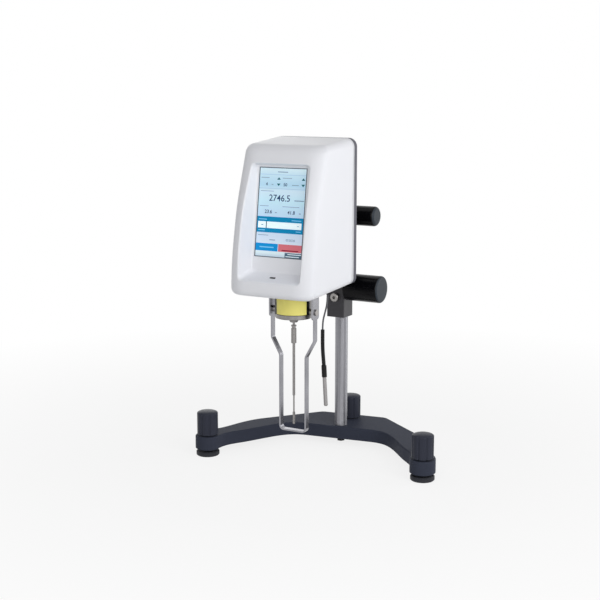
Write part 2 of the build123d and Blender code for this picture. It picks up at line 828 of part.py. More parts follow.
with BuildPart() as clamp_knob:
    with BuildSketch(clamp_section(clamp_knob_start)):
        Circle(clamp_knob_radius)
    extrude(amount=clamp_knob_length)
    fillet(clamp_knob.edges().filter_by(GeomType.CIRCLE).sort_by(Axis.X)[-1], clamp_knob_crown)
    fillet(clamp_knob.edges().filter_by(GeomType.CIRCLE).sort_by(Axis.X)[0], clamp_knob_heel)
    with BuildSketch(clamp_section(clamp_neck_x)):
        Circle(clamp_neck_radius)
    extrude(amount=clamp_knob_start - clamp_neck_x)
    with BuildSketch(clamp_section(clamp_neck_x)):
        Circle(clamp_screw_radius)
    extrude(amount=clamp_knob_start - clamp_neck_x + clamp_grip, mode=Mode.SUBTRACT)
save(clamp_knob, "clamp_knob")

# ---------------------------------------------------------------- head shells
screen_plane = Plane(
    origin=(spindle_x, spindle_y - screen_centre_ahead, screen_centre_z),
    x_dir=(1, 0, 0),
    z_dir=(0, -cos(radians(screen_lean)), sin(radians(screen_lean))),
)
rim_plane = Plane(
    origin=(spindle_x, spindle_y - rim_centre_ahead, screen_centre_z),
    x_dir=(1, 0, 0),
    z_dir=(0, -cos(radians(rim_lean)), sin(radians(rim_lean))),
)


def bottom_z(behind):
    """Height of the head's underside at a place behind the spindle axis."""
    share = (behind + front_reach_low) / (cover_face_y + front_reach_low)
    return head_bottom_front_z + share * (head_bottom_rear_z - head_bottom_front_z)


def top_z(behind):
    """Height of the head's top at a place behind the spindle axis."""
    share = (behind + front_reach_top) / (cover_face_y + front_reach_top)
    return head_top_front_z + share * (head_top_rear_z - head_top_front_z)


def head_form(inset, rear):
    """Outer form of the head drawn in all round by inset and cut off square at rear."""
    low_front = (inset - front_reach_low, bottom_z(-front_reach_low) + inset)
    high_front = (inset - front_reach_top, top_z(-front_reach_top) - inset)
    with BuildPart() as form:
        with BuildSketch(facing_right(inset - head_half_width)):
            with BuildLine():
                Spline(low_front, *[(inset - reach, z) for reach, z in front_curve], high_front)
                Line(high_front, (rear, top_z(rear) - inset))
                Line((rear, top_z(rear) - inset), (rear, bottom_z(rear) + inset))
                Line((rear, bottom_z(rear) + inset), low_front)
            make_face()
        extrude(amount=2 * (head_half_width - inset))
        fillet(form.edges().filter_by(GeomType.BSPLINE), front_corner_radius - inset)
        top_face = form.faces().sort_by(Axis.Z)[-1]
        fillet(top_face.edges().filter_by_position(Axis.Y, -out_of_reach, spindle_y + rear - overrun), top_edge_radius - inset)
        bottom_face = form.faces().sort_by(Axis.Z)[0]
        fillet(
            bottom_face.edges().filter_by_position(Axis.Y, -out_of_reach, spindle_y + rear - overrun), bottom_edge_radius - inset
        )
    return form.part


def screen_recess(grow):
    """Cutter for the recess round the screen, grown all round by grow."""
    floor_mid = (recess_floor_low + recess_floor_high) / 2
    rim_mid = (recess_rim_low + recess_rim_high) / 2
    with BuildPart() as cutter:
        with BuildSketch(screen_plane.offset(-grow)):
            with Locations((0, floor_mid)):
                RectangleRounded(
                    2 * (recess_floor_half + grow),
                    recess_floor_high - recess_floor_low + 2 * grow,
                    recess_corner,
                )
        with BuildSketch(rim_plane.offset(-grow)) as rim:
            with Locations((0, rim_mid)):
                RectangleRounded(
                    2 * (recess_rim_half + grow),
                    recess_rim_high - recess_rim_low + 2 * grow,
                    recess_corner,
                )
        loft(ruled=True)
        extrude(rim.sketch, amount=recess_reach)
    return cutter.part


cover_screw_points = [
    (side * cover_screw_side, z) for side in (-1, 1) for z in (cover_screw_low_z, cover_screw_high_z)
]

outer_form = head_form(0, shell_rear)
inner_form = head_form(head_wall, shell_rear + head_wall)
recess = screen_recess(0)
recess_backing = screen_recess(head_wall)

with BuildPart() as shell_cavity:
    add(inner_form)
    add(recess_backing, mode=Mode.SUBTRACT)

with BuildPart() as front_shell:
    add(outer_form)
    add(shell_cavity.part, mode=Mode.SUBTRACT)
    add(recess, mode=Mode.SUBTRACT)
    with BuildSketch(facing_rear(shell_rear - boss_post_depth)):
        with Locations(*cover_screw_points):
            Circle(boss_post_radius)
    extrude(amount=boss_post_depth)
    with BuildSketch(facing_rear(shell_rear - cover_screw_length)):
        with Locations(*cover_screw_points):
            Circle(cover_screw_radius + running_clearance)
    extrude(amount=cover_screw_length, mode=Mode.SUBTRACT)
    with BuildSketch(screen_plane.offset(-2 * head_wall)):
        Rectangle(screen_width, screen_height)
    extrude(amount=3 * head_wall, mode=Mode.SUBTRACT)
    with BuildSketch(facing_front(0)):
        with Locations((0, slot_z)):
            SlotOverall(slot_length, slot_width)
    extrude(amount=front_reach_low, mode=Mode.SUBTRACT)
    with BuildSketch(level(bottom_z(0) - head_wall)):
        Circle(cylinder_radius + 2 * running_clearance)
        with Locations((gland_x, gland_behind)):
            Circle(gland_thread_radius + 2 * running_clearance)
    extrude(amount=3 * head_wall, mode=Mode.SUBTRACT)
save(front_shell, "front_shell")

cover_high_z = top_z(shell_rear)
cover_low_z = bottom_z(shell_rear)
cover_mid_z = (cover_high_z + cover_low_z) / 2
switch_point = (-switch_x, switch_z)
inlet_point = (switch_x, switch_z)

with BuildPart() as rear_cover:
    with BuildSketch(facing_rear(shell_rear)):
        with Locations((0, cover_mid_z)):
            Rectangle(2 * head_half_width, cover_high_z - cover_low_z)
    extrude(amount=cover_depth)
    long_edges = rear_cover.edges().filter_by(Axis.Y).sort_by(Axis.Z)
    fillet(long_edges[:2], bottom_edge_radius)
    fillet(long_edges[2:], top_edge_radius)
    fillet(rear_cover.faces().sort_by(Axis.Y)[-1].edges(), cover_edge_radius)
    with BuildSketch(facing_rear(shell_rear)):
        with Locations((0, cover_mid_z)):
            RectangleRounded(
                2 * (head_half_width - head_wall), cover_high_z - cover_low_z - 2 * head_wall,
                bottom_edge_radius - head_wall,
            )
        with Locations(*cover_screw_points):
            Circle(boss_post_radius, mode=Mode.SUBTRACT)
    extrude(amount=cover_depth - head_wall, mode=Mode.SUBTRACT)
    with BuildSketch(facing_rear(shell_rear)):
        with Locations(*cover_screw_points):
            Circle(cover_screw_radius + running_clearance)
        with Locations(*[(-x, z) for x, z in mount_screw_points]):
            Circle(mount_screw_radius + running_clearance)
        with Locations(inlet_point):
            Circle(inlet_radius + running_clearance)
        with Locations(switch_point):
            Rectangle(bezel_width - 2 * bezel_lip, bezel_height - 2 * bezel_lip)
    extrude(amount=cover_depth, mode=Mode.SUBTRACT)
    with BuildSketch(facing_rear(cover_face_y - cover_screw_head_height)):
        with Locations(*cover_screw_points):
            Circle(cover_screw_head_radius + running_clearance)
    extrude(amount=cover_screw_head_height, mode=Mode.SUBTRACT)
save(rear_cover, "rear_cover")

with BuildPart() as cover_screws:
    with BuildSketch(facing_rear(cover_face_y - cover_screw_head_height)):
        with Locations(*cover_screw_points):
            Circle(cover_screw_head_radius)
    extrude(amount=cover_screw_head_height)
    with BuildSketch(facing_rear(cover_face_y - cover_screw_head_height / 2)):
        with Locations(*cover_screw_points):
            Rectangle(cross_length, cross_width)
            Rectangle(cross_width, cross_length)
    extrude(amount=cover_screw_head_height / 2, mode=Mode.SUBTRACT)
    with BuildSketch(facing_rear(shell_rear - cover_screw_length)):
        with Locations(*cover_screw_points):
            Circle(cover_screw_radius)
    extrude(amount=cover_screw_length + cover_depth - cover_screw_head_height)
save(cover_screws, "cover_screws")

# ---------------------------------------------------------------- display
with BuildPart() as display_glass:
    with BuildSketch(screen_plane.offset(-head_wall - glass_thickness)):
        Rectangle(screen_width + 2 * glass_margin, screen_height + 2 * glass_margin)
    extrude(amount=glass_thickness)
    with BuildSketch(screen_plane.offset(-head_wall)):
        Rectangle(screen_width - 2 * opening_fit, screen_height - 2 * opening_fit)
    extrude(amount=head_wall - glass_step)
save(display_glass, "display_glass")

with BuildPart() as display_gasket:
    with BuildSketch(screen_plane.offset(-head_wall - glass_thickness - gasket_thickness)):
        Rectangle(screen_width + 2 * glass_margin, screen_height + 2 * glass_margin)
        Rectangle(screen_width, screen_height, mode=Mode.SUBTRACT)
    extrude(amount=gasket_thickness)
save(display_gasket, "display_gasket")

module_back = head_wall + glass_thickness + gasket_thickness + module_thickness
with BuildPart() as display_module:
    with BuildSketch(screen_plane.offset(-module_back)):
        Rectangle(screen_width + 2 * glass_margin, screen_height + 2 * glass_margin)
    extrude(amount=module_thickness)
save(display_module, "display_module")

# ---------------------------------------------------------------- chassis and drive
chassis_back = shell_rear - chassis_gap
post_points = [(side * standoff_reach, place * standoff_reach) for side in (-1, 1) for place in (-1, 1)]
board_posts = [
    (side * (board_half_width - board_post_side), z)
    for side in (-1, 1)
    for z in (board_low_z + board_post_end, board_high_z - board_post_end)
]

with BuildPart() as chassis:
    with BuildSketch(facing_front(chassis_back)):
        with Locations((0, (chassis_low_z + chassis_high_z) / 2)):
            RectangleRounded(2 * chassis_half_width, chassis_high_z - chassis_low_z, chassis_corner)
        with Locations(*mount_screw_points):
            Circle(mount_screw_radius, mode=Mode.SUBTRACT)
    extrude(amount=chassis_thickness)
    with BuildSketch(level(chassis_low_z)):
        with Locations((0, (chassis_back - chassis_front) / 2)):
            Rectangle(2 * chassis_half_width, chassis_back + chassis_front)
        Circle(bearing_radius + running_clearance, mode=Mode.SUBTRACT)
    extrude(amount=chassis_thickness)
    with BuildSketch(level(chassis_low_z)):
        with Locations((gland_x, gland_behind)):
            Circle(gland_thread_radius + 2 * running_clearance)
    extrude(amount=chassis_thickness, mode=Mode.SUBTRACT)
save(chassis, "chassis")

with BuildPart() as drive_standoffs:
    with BuildSketch(level(chassis_low_z + chassis_thickness)):
        with Locations(*post_points):
            RegularPolygon(standoff_radius, 6)
    extrude(amount=motor_plate_z - chassis_low_z - chassis_thickness)
save(drive_standoffs, "drive_standoffs")

with BuildPart() as motor_plate:
    with BuildSketch(level(motor_plate_z)):
        RectangleRounded(2 * motor_plate_half, 2 * motor_plate_half, motor_plate_corner)
        Circle(motor_shaft_radius + motor_plate_bore_gap, mode=Mode.SUBTRACT)
    extrude(amount=motor_plate_thickness)
save(motor_plate, "motor_plate")

motor_low_z = motor_plate_z + motor_plate_thickness
with BuildPart() as drive_motor:
    with BuildSketch(level(motor_low_z)):
        RectangleRounded(2 * motor_half, 2 * motor_half, motor_corner)
    extrude(amount=motor_height)
    chamfer(drive_motor.faces().filter_by(Axis.Z).edges(), motor_chamfer)
    with BuildSketch(level(motor_low_z)):
        Circle(motor_shaft_radius + running_clearance)
    extrude(amount=motor_height, mode=Mode.SUBTRACT)
save(drive_motor, "drive_motor")

with BuildPart() as motor_shaft:
    with BuildSketch(level(drive_disc_z)):
        Circle(motor_shaft_radius)
    extrude(amount=motor_low_z + motor_height - motor_shaft_drop - drive_disc_z)
save(motor_shaft, "motor_shaft")


def round_disc(z, thickness, radius, bore, slots):
    """Disc with a raised hub, a bore and, where asked, a ring of radial slots."""
    with BuildPart() as disc:
        with BuildSketch(level(z)):
            Circle(radius)
            if slots:
                with PolarLocations(radius - signal_slot_length, slots):
                    Rectangle(signal_slot_length, signal_slot_width, mode=Mode.SUBTRACT)
        extrude(amount=thickness)
        with BuildSketch(level(z)):
            Circle(disc_hub_radius)
        extrude(amount=disc_hub_height)
        with BuildSketch(level(z)):
            Circle(bore)
        extrude(amount=disc_hub_height, mode=Mode.SUBTRACT)
    return disc


save(round_disc(drive_disc_z, drive_disc_thickness, drive_disc_radius, motor_shaft_radius, 0), "drive_disc")
save(
    round_disc(signal_disc_z, signal_disc_thickness, signal_disc_radius, pivot_radius, signal_slots),
    "signal_disc",
)

spring_end_radius = spring_start_radius + (spring_half_turns - 1) * spring_step


def spring_rail(shrink):
    """Half-circle arcs of one face of the hairspring, from its hub outwards."""
    for turn in range(spring_half_turns):
        shift = spring_step * (turn % 2)
        start = 180 * (turn % 2)
        CenterArc((shift, 0), spring_start_radius + turn * spring_step - shrink, start, 180)


with BuildPart() as torsion_spring:
    with BuildSketch(level(spring_z)):
        with BuildLine() as strip:
            spring_rail(0)
            spring_rail(spring_strip)
            last_side = -1 if spring_half_turns % 2 else 1
            last_shift = spring_step * ((spring_half_turns - 1) % 2)
            outer_end = last_shift + last_side * spring_end_radius
            Line((spring_start_radius, 0), (spring_start_radius - spring_strip, 0))
            Line((outer_end, 0), (outer_end - last_side * spring_strip, 0))
        make_face()
    extrude(amount=spring_height)
    with BuildSketch(level(spring_z)):
        Circle(spring_start_radius - spring_strip / 2)
        Circle(pivot_radius, mode=Mode.SUBTRACT)
    extrude(amount=spring_height)
    with BuildSketch(level(spring_z)):
        with Locations((outer_end - last_side * spring_strip / 2, 0)):
            Circle(spring_post_radius)
    extrude(amount=drive_disc_z - spring_z)
save(torsion_spring, "torsion_spring")

with BuildPart() as pivot_shaft:
    with BuildSketch(level(coupling_high_z)):
        Circle(pivot_radius)
    extrude(amount=spring_z + spring_height - coupling_high_z)
save(pivot_shaft, "pivot_shaft")

with BuildPart() as shaft_bearing:
    with BuildSketch(level(chassis_low_z)):
        Circle(bearing_radius)
        Circle(pivot_radius + running_clearance, mode=Mode.SUBTRACT)
    extrude(amount=bearing_height)
    with BuildSketch(level(chassis_low_z + bearing_height - bearing_groove)):
        Circle(bearing_outer_race)
        Circle(bearing_inner_race, mode=Mode.SUBTRACT)
    extrude(amount=bearing_groove, mode=Mode.SUBTRACT)
save(shaft_bearing, "shaft_bearing")

with BuildPart() as circuit_board:
    with BuildSketch(facing_front(chassis_back - chassis_thickness - board_standoff)):
        with Locations((0, (board_low_z + board_high_z) / 2)):
            RectangleRounded(2 * board_half_width, board_high_z - board_low_z, board_corner)
    extrude(amount=board_thickness)
save(circuit_board, "circuit_board")

with BuildPart() as board_spacers:
    with BuildSketch(facing_front(chassis_back - chassis_thickness)):
        with Locations(*board_posts):
            Circle(board_post_radius)
    extrude(amount=board_standoff)
save(board_spacers, "board_spacers")

# ---------------------------------------------------------------- gauge cylinder, guard and spindle
stud_inner_x = cylinder_radius - cylinder_wall
strap_inner_x = guard_outer_half - guard_thickness

with BuildPart() as gauge_cylinder:
    with BuildSketch(level(cylinder_low_z)):
        Circle(cylinder_radius)
    extrude(amount=chassis_low_z - cylinder_low_z)
    chamfer(gauge_cylinder.edges().filter_by(GeomType.CIRCLE).sort_by(Axis.Z)[0], cylinder_chamfer)
    with BuildSketch(level(cylinder_low_z + cylinder_wall)):
        Circle(cylinder_radius - cylinder_wall)
    extrude(amount=chassis_low_z - cylinder_low_z - cylinder_wall, mode=Mode.SUBTRACT)
    with BuildSketch(level(cylinder_low_z)):
        Circle(pivot_radius + cylinder_bore_gap)
    extrude(amount=cylinder_wall, mode=Mode.SUBTRACT)
    with BuildSketch(facing_right(-cylinder_radius)):
        with Locations((0, stud_z)):
            Circle(stud_shank_radius + running_clearance)
    extrude(amount=2 * cylinder_radius, mode=Mode.SUBTRACT)
save(gauge_cylinder, "gauge_cylinder")

band_inner_radius = cylinder_radius + band_fit
band_outer_radius = band_inner_radius + band_thickness
with BuildPart() as cylinder_band:
    with BuildSketch(level(band_low_z)):
        with BuildLine():
            outside = CenterArc((0, 0), band_outer_radius, band_from, band_to - band_from)
            inside = CenterArc((0, 0), band_inner_radius, band_from, band_to - band_from)
            Line(outside @ 0, inside @ 0)
            Line(outside @ 1, inside @ 1)
        make_face()
    extrude(amount=band_high_z - band_low_z)
save(cylinder_band, "cylinder_band")

with BuildPart() as pivot_cup:
    with BuildSketch(Plane(origin=(spindle_x, spindle_y, 0), x_dir=(1, 0, 0), z_dir=(0, -1, 0))):
        with BuildLine():
            Polyline(
                (pivot_radius + running_clearance, cylinder_low_z),
                (cup_radius, cylinder_low_z),
                (cup_radius, cylinder_low_z - cup_rim_height),
                (cup_taper_radius, cup_low_z),
                (pivot_radius + running_clearance, cup_low_z),
                close=True,
            )
        make_face()
    revolve(axis=Axis((spindle_x, spindle_y, 0), (0, 0, 1)))
save(pivot_cup, "pivot_cup")

with BuildPart() as spindle_coupling:
    with BuildSketch(level(coupling_low_z)):
        Circle(coupling_radius)
    extrude(amount=coupling_high_z - coupling_low_z)
    chamfer(spindle_coupling.edges().filter_by(GeomType.CIRCLE), coupling_chamfer)
    with BuildSketch(level(coupling_high_z - coupling_neck_height)):
        Circle(coupling_radius)
        Circle(coupling_neck_radius, mode=Mode.SUBTRACT)
    extrude(amount=coupling_neck_height / 2, mode=Mode.SUBTRACT)
save(spindle_coupling, "spindle_coupling")

with BuildPart() as spindle:
    with BuildSketch(Plane(origin=(spindle_x, spindle_y, 0), x_dir=(1, 0, 0), z_dir=(0, -1, 0))):
        with BuildLine():
            Polyline(
                (0, coupling_low_z),
                (spindle_rod_radius, coupling_low_z),
                (spindle_rod_radius, spindle_neck_high_z + spindle_neck_taper),
                (spindle_neck_radius, spindle_neck_high_z),
                (spindle_neck_radius, spindle_neck_low_z + spindle_tip_taper),
                (spindle_tip_radius, spindle_neck_low_z),
                (spindle_tip_radius, spindle_tip_z),
                (0, spindle_tip_z),
                close=True,
            )
        make_face()
    revolve(axis=Axis((spindle_x, spindle_y, 0), (0, 0, 1)))
save(spindle, "spindle")

guard_half = [
    (guard_outer_half, guard_tab_low_z + guard_tab_corner),
    (guard_outer_half, guard_bend_high_z),
    (guard_inner_half, guard_bend_low_z),
    (guard_inner_half, guard_bottom_z),
]
guard_path = guard_half + [(-x, z) for x, z in reversed(guard_half)]

with BuildPart() as guard_leg:
    with BuildSketch(facing_front(guard_width / 2)):
        with BuildLine():
            FilletPolyline(*guard_path, radius=guard_corner)
            offset(amount=guard_thickness, side=Side.RIGHT)
        make_face()
    extrude(amount=guard_width)
    for strap_x in (-guard_outer_half, strap_inner_x):
        with BuildSketch(facing_right(strap_x)):
            with Locations((0, (guard_tab_low_z + guard_tab_high_z) / 2)):
                RectangleRounded(guard_tab_width, guard_tab_high_z - guard_tab_low_z, guard_tab_corner)
            with Locations((0, stud_z)):
                Circle(stud_neck_radius + stud_fit, mode=Mode.SUBTRACT)
        extrude(amount=guard_thickness)
save(guard_leg, "guard_leg")

with BuildPart() as guard_studs:
    for low_x, length, radius in (
        (stud_inner_x, cylinder_radius + stud_shoulder_gap - stud_inner_x, stud_shank_radius),
        (cylinder_radius + stud_shoulder_gap, strap_inner_x - cylinder_radius - stud_shoulder_gap - stud_fit, stud_shoulder_radius),
        (strap_inner_x - stud_fit, guard_thickness + 2 * stud_fit, stud_neck_radius),
        (guard_outer_half + stud_fit, stud_head_height, stud_head_radius),
    ):
        for side in (-1, 1):
            with BuildSketch(facing_right(low_x if side > 0 else -low_x - length)):
                with Locations((0, stud_z)):
                    Circle(radius)
            extrude(amount=length)
save(guard_studs, "guard_studs")

# ---------------------------------------------------------------- temperature probe
gland_floor_z = bottom_z(gland_behind)
with BuildPart() as probe_gland:
    with BuildSketch(level(gland_low_z)):
        with Locations((gland_x, gland_behind)):
            RegularPolygon(gland_radius, 6)
    extrude(amount=gland_floor_z - gland_low_z - gland_seat_gap)
    with BuildSketch(level(gland_low_z)):
        with Locations((gland_x, gland_behind)):
            Circle(gland_thread_radius)
    extrude(amount=gland_floor_z - gland_low_z + gland_thread_length)
save(probe_gland, "probe_gland")


def probe_point(x, z):
    """Point of the probe's route, in the upright plane of its gland."""
    return Vector(spindle_x + x, spindle_y + gland_behind, z)


def route_radii(points, share):
    """Largest arcs that the route's runs allow, one for each corner."""
    radii = []
    for before, corner, after in zip(points, points[1:], points[2:]):
        turn = radians((corner - before).get_angle(after - corner))
        shorter = min((corner - before).length, (after - corner).length)
        radii.append(share * shorter / tan(turn / 2))
    return radii


def routed_tube(route, radius, name):
    """Round tube along a route of straight runs joined by tangent arcs."""
    points = [probe_point(x, z) for x, z in route]
    radii = route_radii(points, bend_share)
    print(name, "bend radii", [round(bend, 1) for bend in radii])
    with BuildPart() as tube:
        with BuildLine() as path:
            FilletPolyline(*points, radius=radii)
        with BuildSketch(Plane(origin=path.wire() @ 0, z_dir=path.wire() % 0)):
            Circle(radius)
        sweep()
    print(name, "length", round(path.wire().length, 2), "volume", round(tube.part.volume, 2),
          "section times length", round(pi * radius ** 2 * path.wire().length, 2))
    return tube


save(routed_tube(cable_route, cable_radius, "probe_cable"), "probe_cable")
save(routed_tube(sleeve_route, sleeve_radius, "probe_sleeve"), "probe_sleeve")

probe_top = probe_point(*sleeve_route[-1])
probe_heading = (probe_point(probe_tip_x, probe_tip_z) - probe_top).normalized()
probe_length = (probe_point(probe_tip_x, probe_tip_z) - probe_top).length
probe_axis = Plane(origin=probe_top, z_dir=probe_heading)

with BuildPart() as probe_ferrule:
    with BuildSketch(probe_axis.offset(ferrule_gap)):
        Circle(ferrule_radius)
    extrude(amount=ferrule_length - ferrule_gap)
    chamfer(probe_ferrule.edges().filter_by(GeomType.CIRCLE), ferrule_chamfer)
save(probe_ferrule, "probe_ferrule")

with BuildPart() as probe_rod:
    with BuildSketch(probe_axis.offset(ferrule_length)):
        Circle(probe_radius)
    extrude(amount=probe_length - ferrule_length)
    fillet(probe_rod.edges().filter_by(GeomType.CIRCLE).sort_by(Axis.Z)[0], probe_tip_radius)
save(probe_rod, "probe_rod")

# ---------------------------------------------------------------- rear connections
bezel_face_y = cover_face_y + bezel_proud
with BuildPart() as switch_bezel:
    with BuildSketch(facing_rear(cover_face_y)):
        with Locations(switch_point):
            RectangleRounded(bezel_width, bezel_height, bezel_corner)
    extrude(amount=bezel_proud)
    with BuildSketch(facing_rear(cover_face_y - bezel_depth)):
        with Locations(switch_point):
            Rectangle(bezel_width - 2 * bezel_lip - 2 * bezel_fit, bezel_height - 2 * bezel_lip - 2 * bezel_fit)
    extrude(amount=bezel_depth)
    with BuildSketch(facing_rear(cover_face_y - bezel_depth + bezel_floor)):
        with Locations(switch_point):
            Rectangle(rocker_width + 2 * rocker_gap, rocker_height + 2 * rocker_gap)
    extrude(amount=bezel_depth + bezel_proud, mode=Mode.SUBTRACT)
save(switch_bezel, "switch_bezel")

rocker_pivot_y = cover_face_y - rocker_pivot_depth
rocker_reach = rocker_height / 2
with BuildPart() as rocker_switch:
    with BuildSketch(facing_right(switch_x - rocker_width / 2)):
        with BuildLine():
            rocker_face_y = bezel_face_y + rocker_proud
            Polyline(
                (rocker_face_y - rocker_end_drop, switch_z - rocker_reach),
                (rocker_face_y - rocker_mid_drop, switch_z),
                (rocker_face_y - rocker_end_drop, switch_z + rocker_reach),
            )
            ThreePointArc(
                (rocker_face_y - rocker_end_drop, switch_z + rocker_reach),
                (rocker_pivot_y - rocker_belly, switch_z),
                (rocker_face_y - rocker_end_drop, switch_z - rocker_reach),
            )
        make_face()
    extrude(amount=rocker_width)
save(rocker_switch, "rocker_switch")

with BuildPart() as power_inlet:
    with BuildSketch(facing_rear(cover_face_y)):
        with Locations(inlet_point):
            RegularPolygon(inlet_flange, 6)
    extrude(amount=inlet_proud)
    with BuildSketch(facing_rear(cover_face_y - inlet_depth)):
        with Locations(inlet_point):
            Circle(inlet_radius)
    extrude(amount=inlet_depth)
    with BuildSketch(facing_rear(cover_face_y - inlet_depth + inlet_floor)):
        with Locations(inlet_point):
            Circle(inlet_bore)
            Circle(inlet_pin, mode=Mode.SUBTRACT)
    extrude(amount=inlet_depth + inlet_proud, mode=Mode.SUBTRACT)
save(power_inlet, "power_inlet")
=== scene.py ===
"""Bench rotational viscometer: its looks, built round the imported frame.

Sizes are written in millimetres and meshes are made in metres, in the frame's own axes: +X is the
operator's right, -Y the front and +Z up.
"""

import json
import logging
import math
from dataclasses import dataclass
from enum import Enum

import bmesh
import bpy
from mathutils import Matrix, Vector

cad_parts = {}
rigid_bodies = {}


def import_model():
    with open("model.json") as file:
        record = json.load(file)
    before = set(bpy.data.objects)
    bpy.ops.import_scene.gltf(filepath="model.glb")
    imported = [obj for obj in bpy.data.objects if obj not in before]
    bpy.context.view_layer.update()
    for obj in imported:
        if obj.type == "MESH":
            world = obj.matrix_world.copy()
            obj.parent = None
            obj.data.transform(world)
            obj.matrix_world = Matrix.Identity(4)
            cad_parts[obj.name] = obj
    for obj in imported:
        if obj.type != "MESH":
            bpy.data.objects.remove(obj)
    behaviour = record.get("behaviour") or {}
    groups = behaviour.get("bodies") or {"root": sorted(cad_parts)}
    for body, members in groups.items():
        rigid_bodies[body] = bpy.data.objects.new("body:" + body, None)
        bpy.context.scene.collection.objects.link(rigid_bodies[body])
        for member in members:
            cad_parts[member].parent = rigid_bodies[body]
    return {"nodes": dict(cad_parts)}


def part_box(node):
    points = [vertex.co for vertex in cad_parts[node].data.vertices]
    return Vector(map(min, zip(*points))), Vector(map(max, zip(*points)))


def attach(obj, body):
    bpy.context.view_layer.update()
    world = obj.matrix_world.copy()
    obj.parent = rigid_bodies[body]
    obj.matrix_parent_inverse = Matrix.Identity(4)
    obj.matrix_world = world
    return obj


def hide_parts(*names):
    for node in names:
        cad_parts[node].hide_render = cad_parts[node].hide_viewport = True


for leftover in list(bpy.data.objects):
    bpy.data.objects.remove(leftover)
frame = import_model()

Mesh = bpy.types.Mesh
Socket = bpy.types.NodeSocket
Pair = tuple[float, float]
Triple = tuple[float, float, float]

log = logging.getLogger("viscometer")
MM = 0.001
SPINDLE = Vector((-16.0077, -61.7099, 0.0))  # spindle axis, mm
FOOT_PLACES = {"left": (-143.162, -65.678), "right": (143.162, -23.602), "rear": (-21.707, 103.073)}  # mm
NEARLY_CLOSED = 1.0001  # keeps the last ring of a crown from shrinking to a point
MIX_COLOURS, MIX_RESULT = (6, 7), 2  # sockets of the Mix node in its colour mode
NOISE_SPAN = (0.3, 0.7)  # where most values of a noise lie
LEAST_ROUGHNESS = 0.02
QUARTER_TURN = 0.25  # draws a highlight out along the axis that its surface runs round


class Grain(Enum):
    """How the fine relief of a surface runs."""

    EVEN = (1.0, 1.0, 1.0)
    TURNED = (0.05, 0.05, 1.0)
    DRAWN = (1.0, 1.0, 0.03)
    CROSSWISE = (0.04, 1.0, 1.0)


def linear(colour: Triple) -> tuple[float, float, float, float]:
    """Turn a display colour into the linear one that shaders take.

    Args:
        colour: Red, green and blue as seen on a display, 0 to 1.

    Returns:
        The linear colour with an alpha of 1.
    """
    made = [c / 12.92 if c <= 0.04045 else ((c + 0.055) / 1.055) ** 2.4 for c in colour]
    return (made[0], made[1], made[2], 1.0)


class NodeWork:
    """A node tree under construction."""

    def __init__(self, tree: bpy.types.NodeTree) -> None:
        """Take up a tree."""
        self.nodes = tree.nodes
        self.links = tree.links

    def join(self, source: object, socket: Socket) -> None:
        """Give an input socket a value, or the socket that feeds it."""
        if isinstance(source, Socket):
            self.links.new(source, socket)
        else:
            socket.default_value = source

    def node(self, kind: str, feeds: dict | None = None, **settings: object) -> bpy.types.Node:
        """Add a node.

        Args:
            kind: The node's type name.
            feeds: Input socket, by name or number, to a value or a socket, or to a list of sockets.
            **settings: The node's own properties.

        Returns:
            The new node.
        """
        made = self.nodes.new(kind)
        for key, value in settings.items():
            setattr(made, key, value)
        for key, value in (feeds or {}).items():
            for source in value if isinstance(value, list) else [value]:
                self.join(source, made.inputs[key])
        return made

    def result(self, kind: str, feeds: dict | None = None, **settings: object) -> Socket:
        """Add a node and give its first output."""
        return self.node(kind, feeds, **settings).outputs[0]

    def maths(self, operation: str, first: object, second: object = 0.0) -> Socket:
        """The result of one sum on two values or sockets."""
        return self.result("ShaderNodeMath", {0: first, 1: second}, operation=operation)


class Shading(NodeWork):
    """A material under construction."""

    def __init__(self, name: str) -> None:
        """Start a material with a bare Principled shader and Object coordinates.

        Args:
            name: The material's name.
        """
        self.material = bpy.data.materials.new(name)
        self.material.use_nodes = True
        super().__init__(self.material.node_tree)
        self.shader = self.nodes["Principled BSDF"]
        self.place = self.node("ShaderNodeTexCoord").outputs["Object"]

    def noise(self, size_mm: float, detail: float = 3.0, grain: Grain = Grain.EVEN) -> Socket:
        """Noise whose spots are about size_mm across.

        Args:
            size_mm: Size of a spot.
            detail: Finer layers on top.
            grain: How the spots are drawn out.

        Returns:
            The socket that gives 0 to 1.
        """
        mapped = self.result("ShaderNodeMapping", {"Vector": self.place, "Scale": grain.value})
        feeds = {"Vector": mapped, "Scale": 1.0 / (size_mm * MM), "Detail": detail}
        return self.node("ShaderNodeTexNoise", feeds).outputs["Fac"]

    def ramp(self, source: Socket, low: float, high: float, start: float, end: float) -> Socket:
        """Map a value from low..high to start..end, held at both ends."""
        feeds = {"Value": source, "From Min": low, "From Max": high, "To Min": start, "To Max": end}
        return self.result("ShaderNodeMapRange", feeds)

    def blend(self, share: Socket, first: object, second: object) -> Socket:
        """Mix two colours, each a value or a socket, by a share."""
        feeds = {"Factor": share, MIX_COLOURS[0]: first, MIX_COLOURS[1]: second}
        return self.node("ShaderNodeMix", feeds, data_type="RGBA").outputs[MIX_RESULT]

    def feed(self, name: str, source: object) -> None:
        """Give the shader's socket a value or a source."""
        self.join(source, self.shader.inputs[name])

    def relief(self, height: Socket, depth_mm: float, strength: float) -> None:
        """Let a height raise the surface's shading by about depth_mm."""
        feeds = {"Height": height, "Distance": depth_mm * MM, "Strength": strength}
        self.feed("Normal", self.node("ShaderNodeBump", feeds).outputs["Normal"])


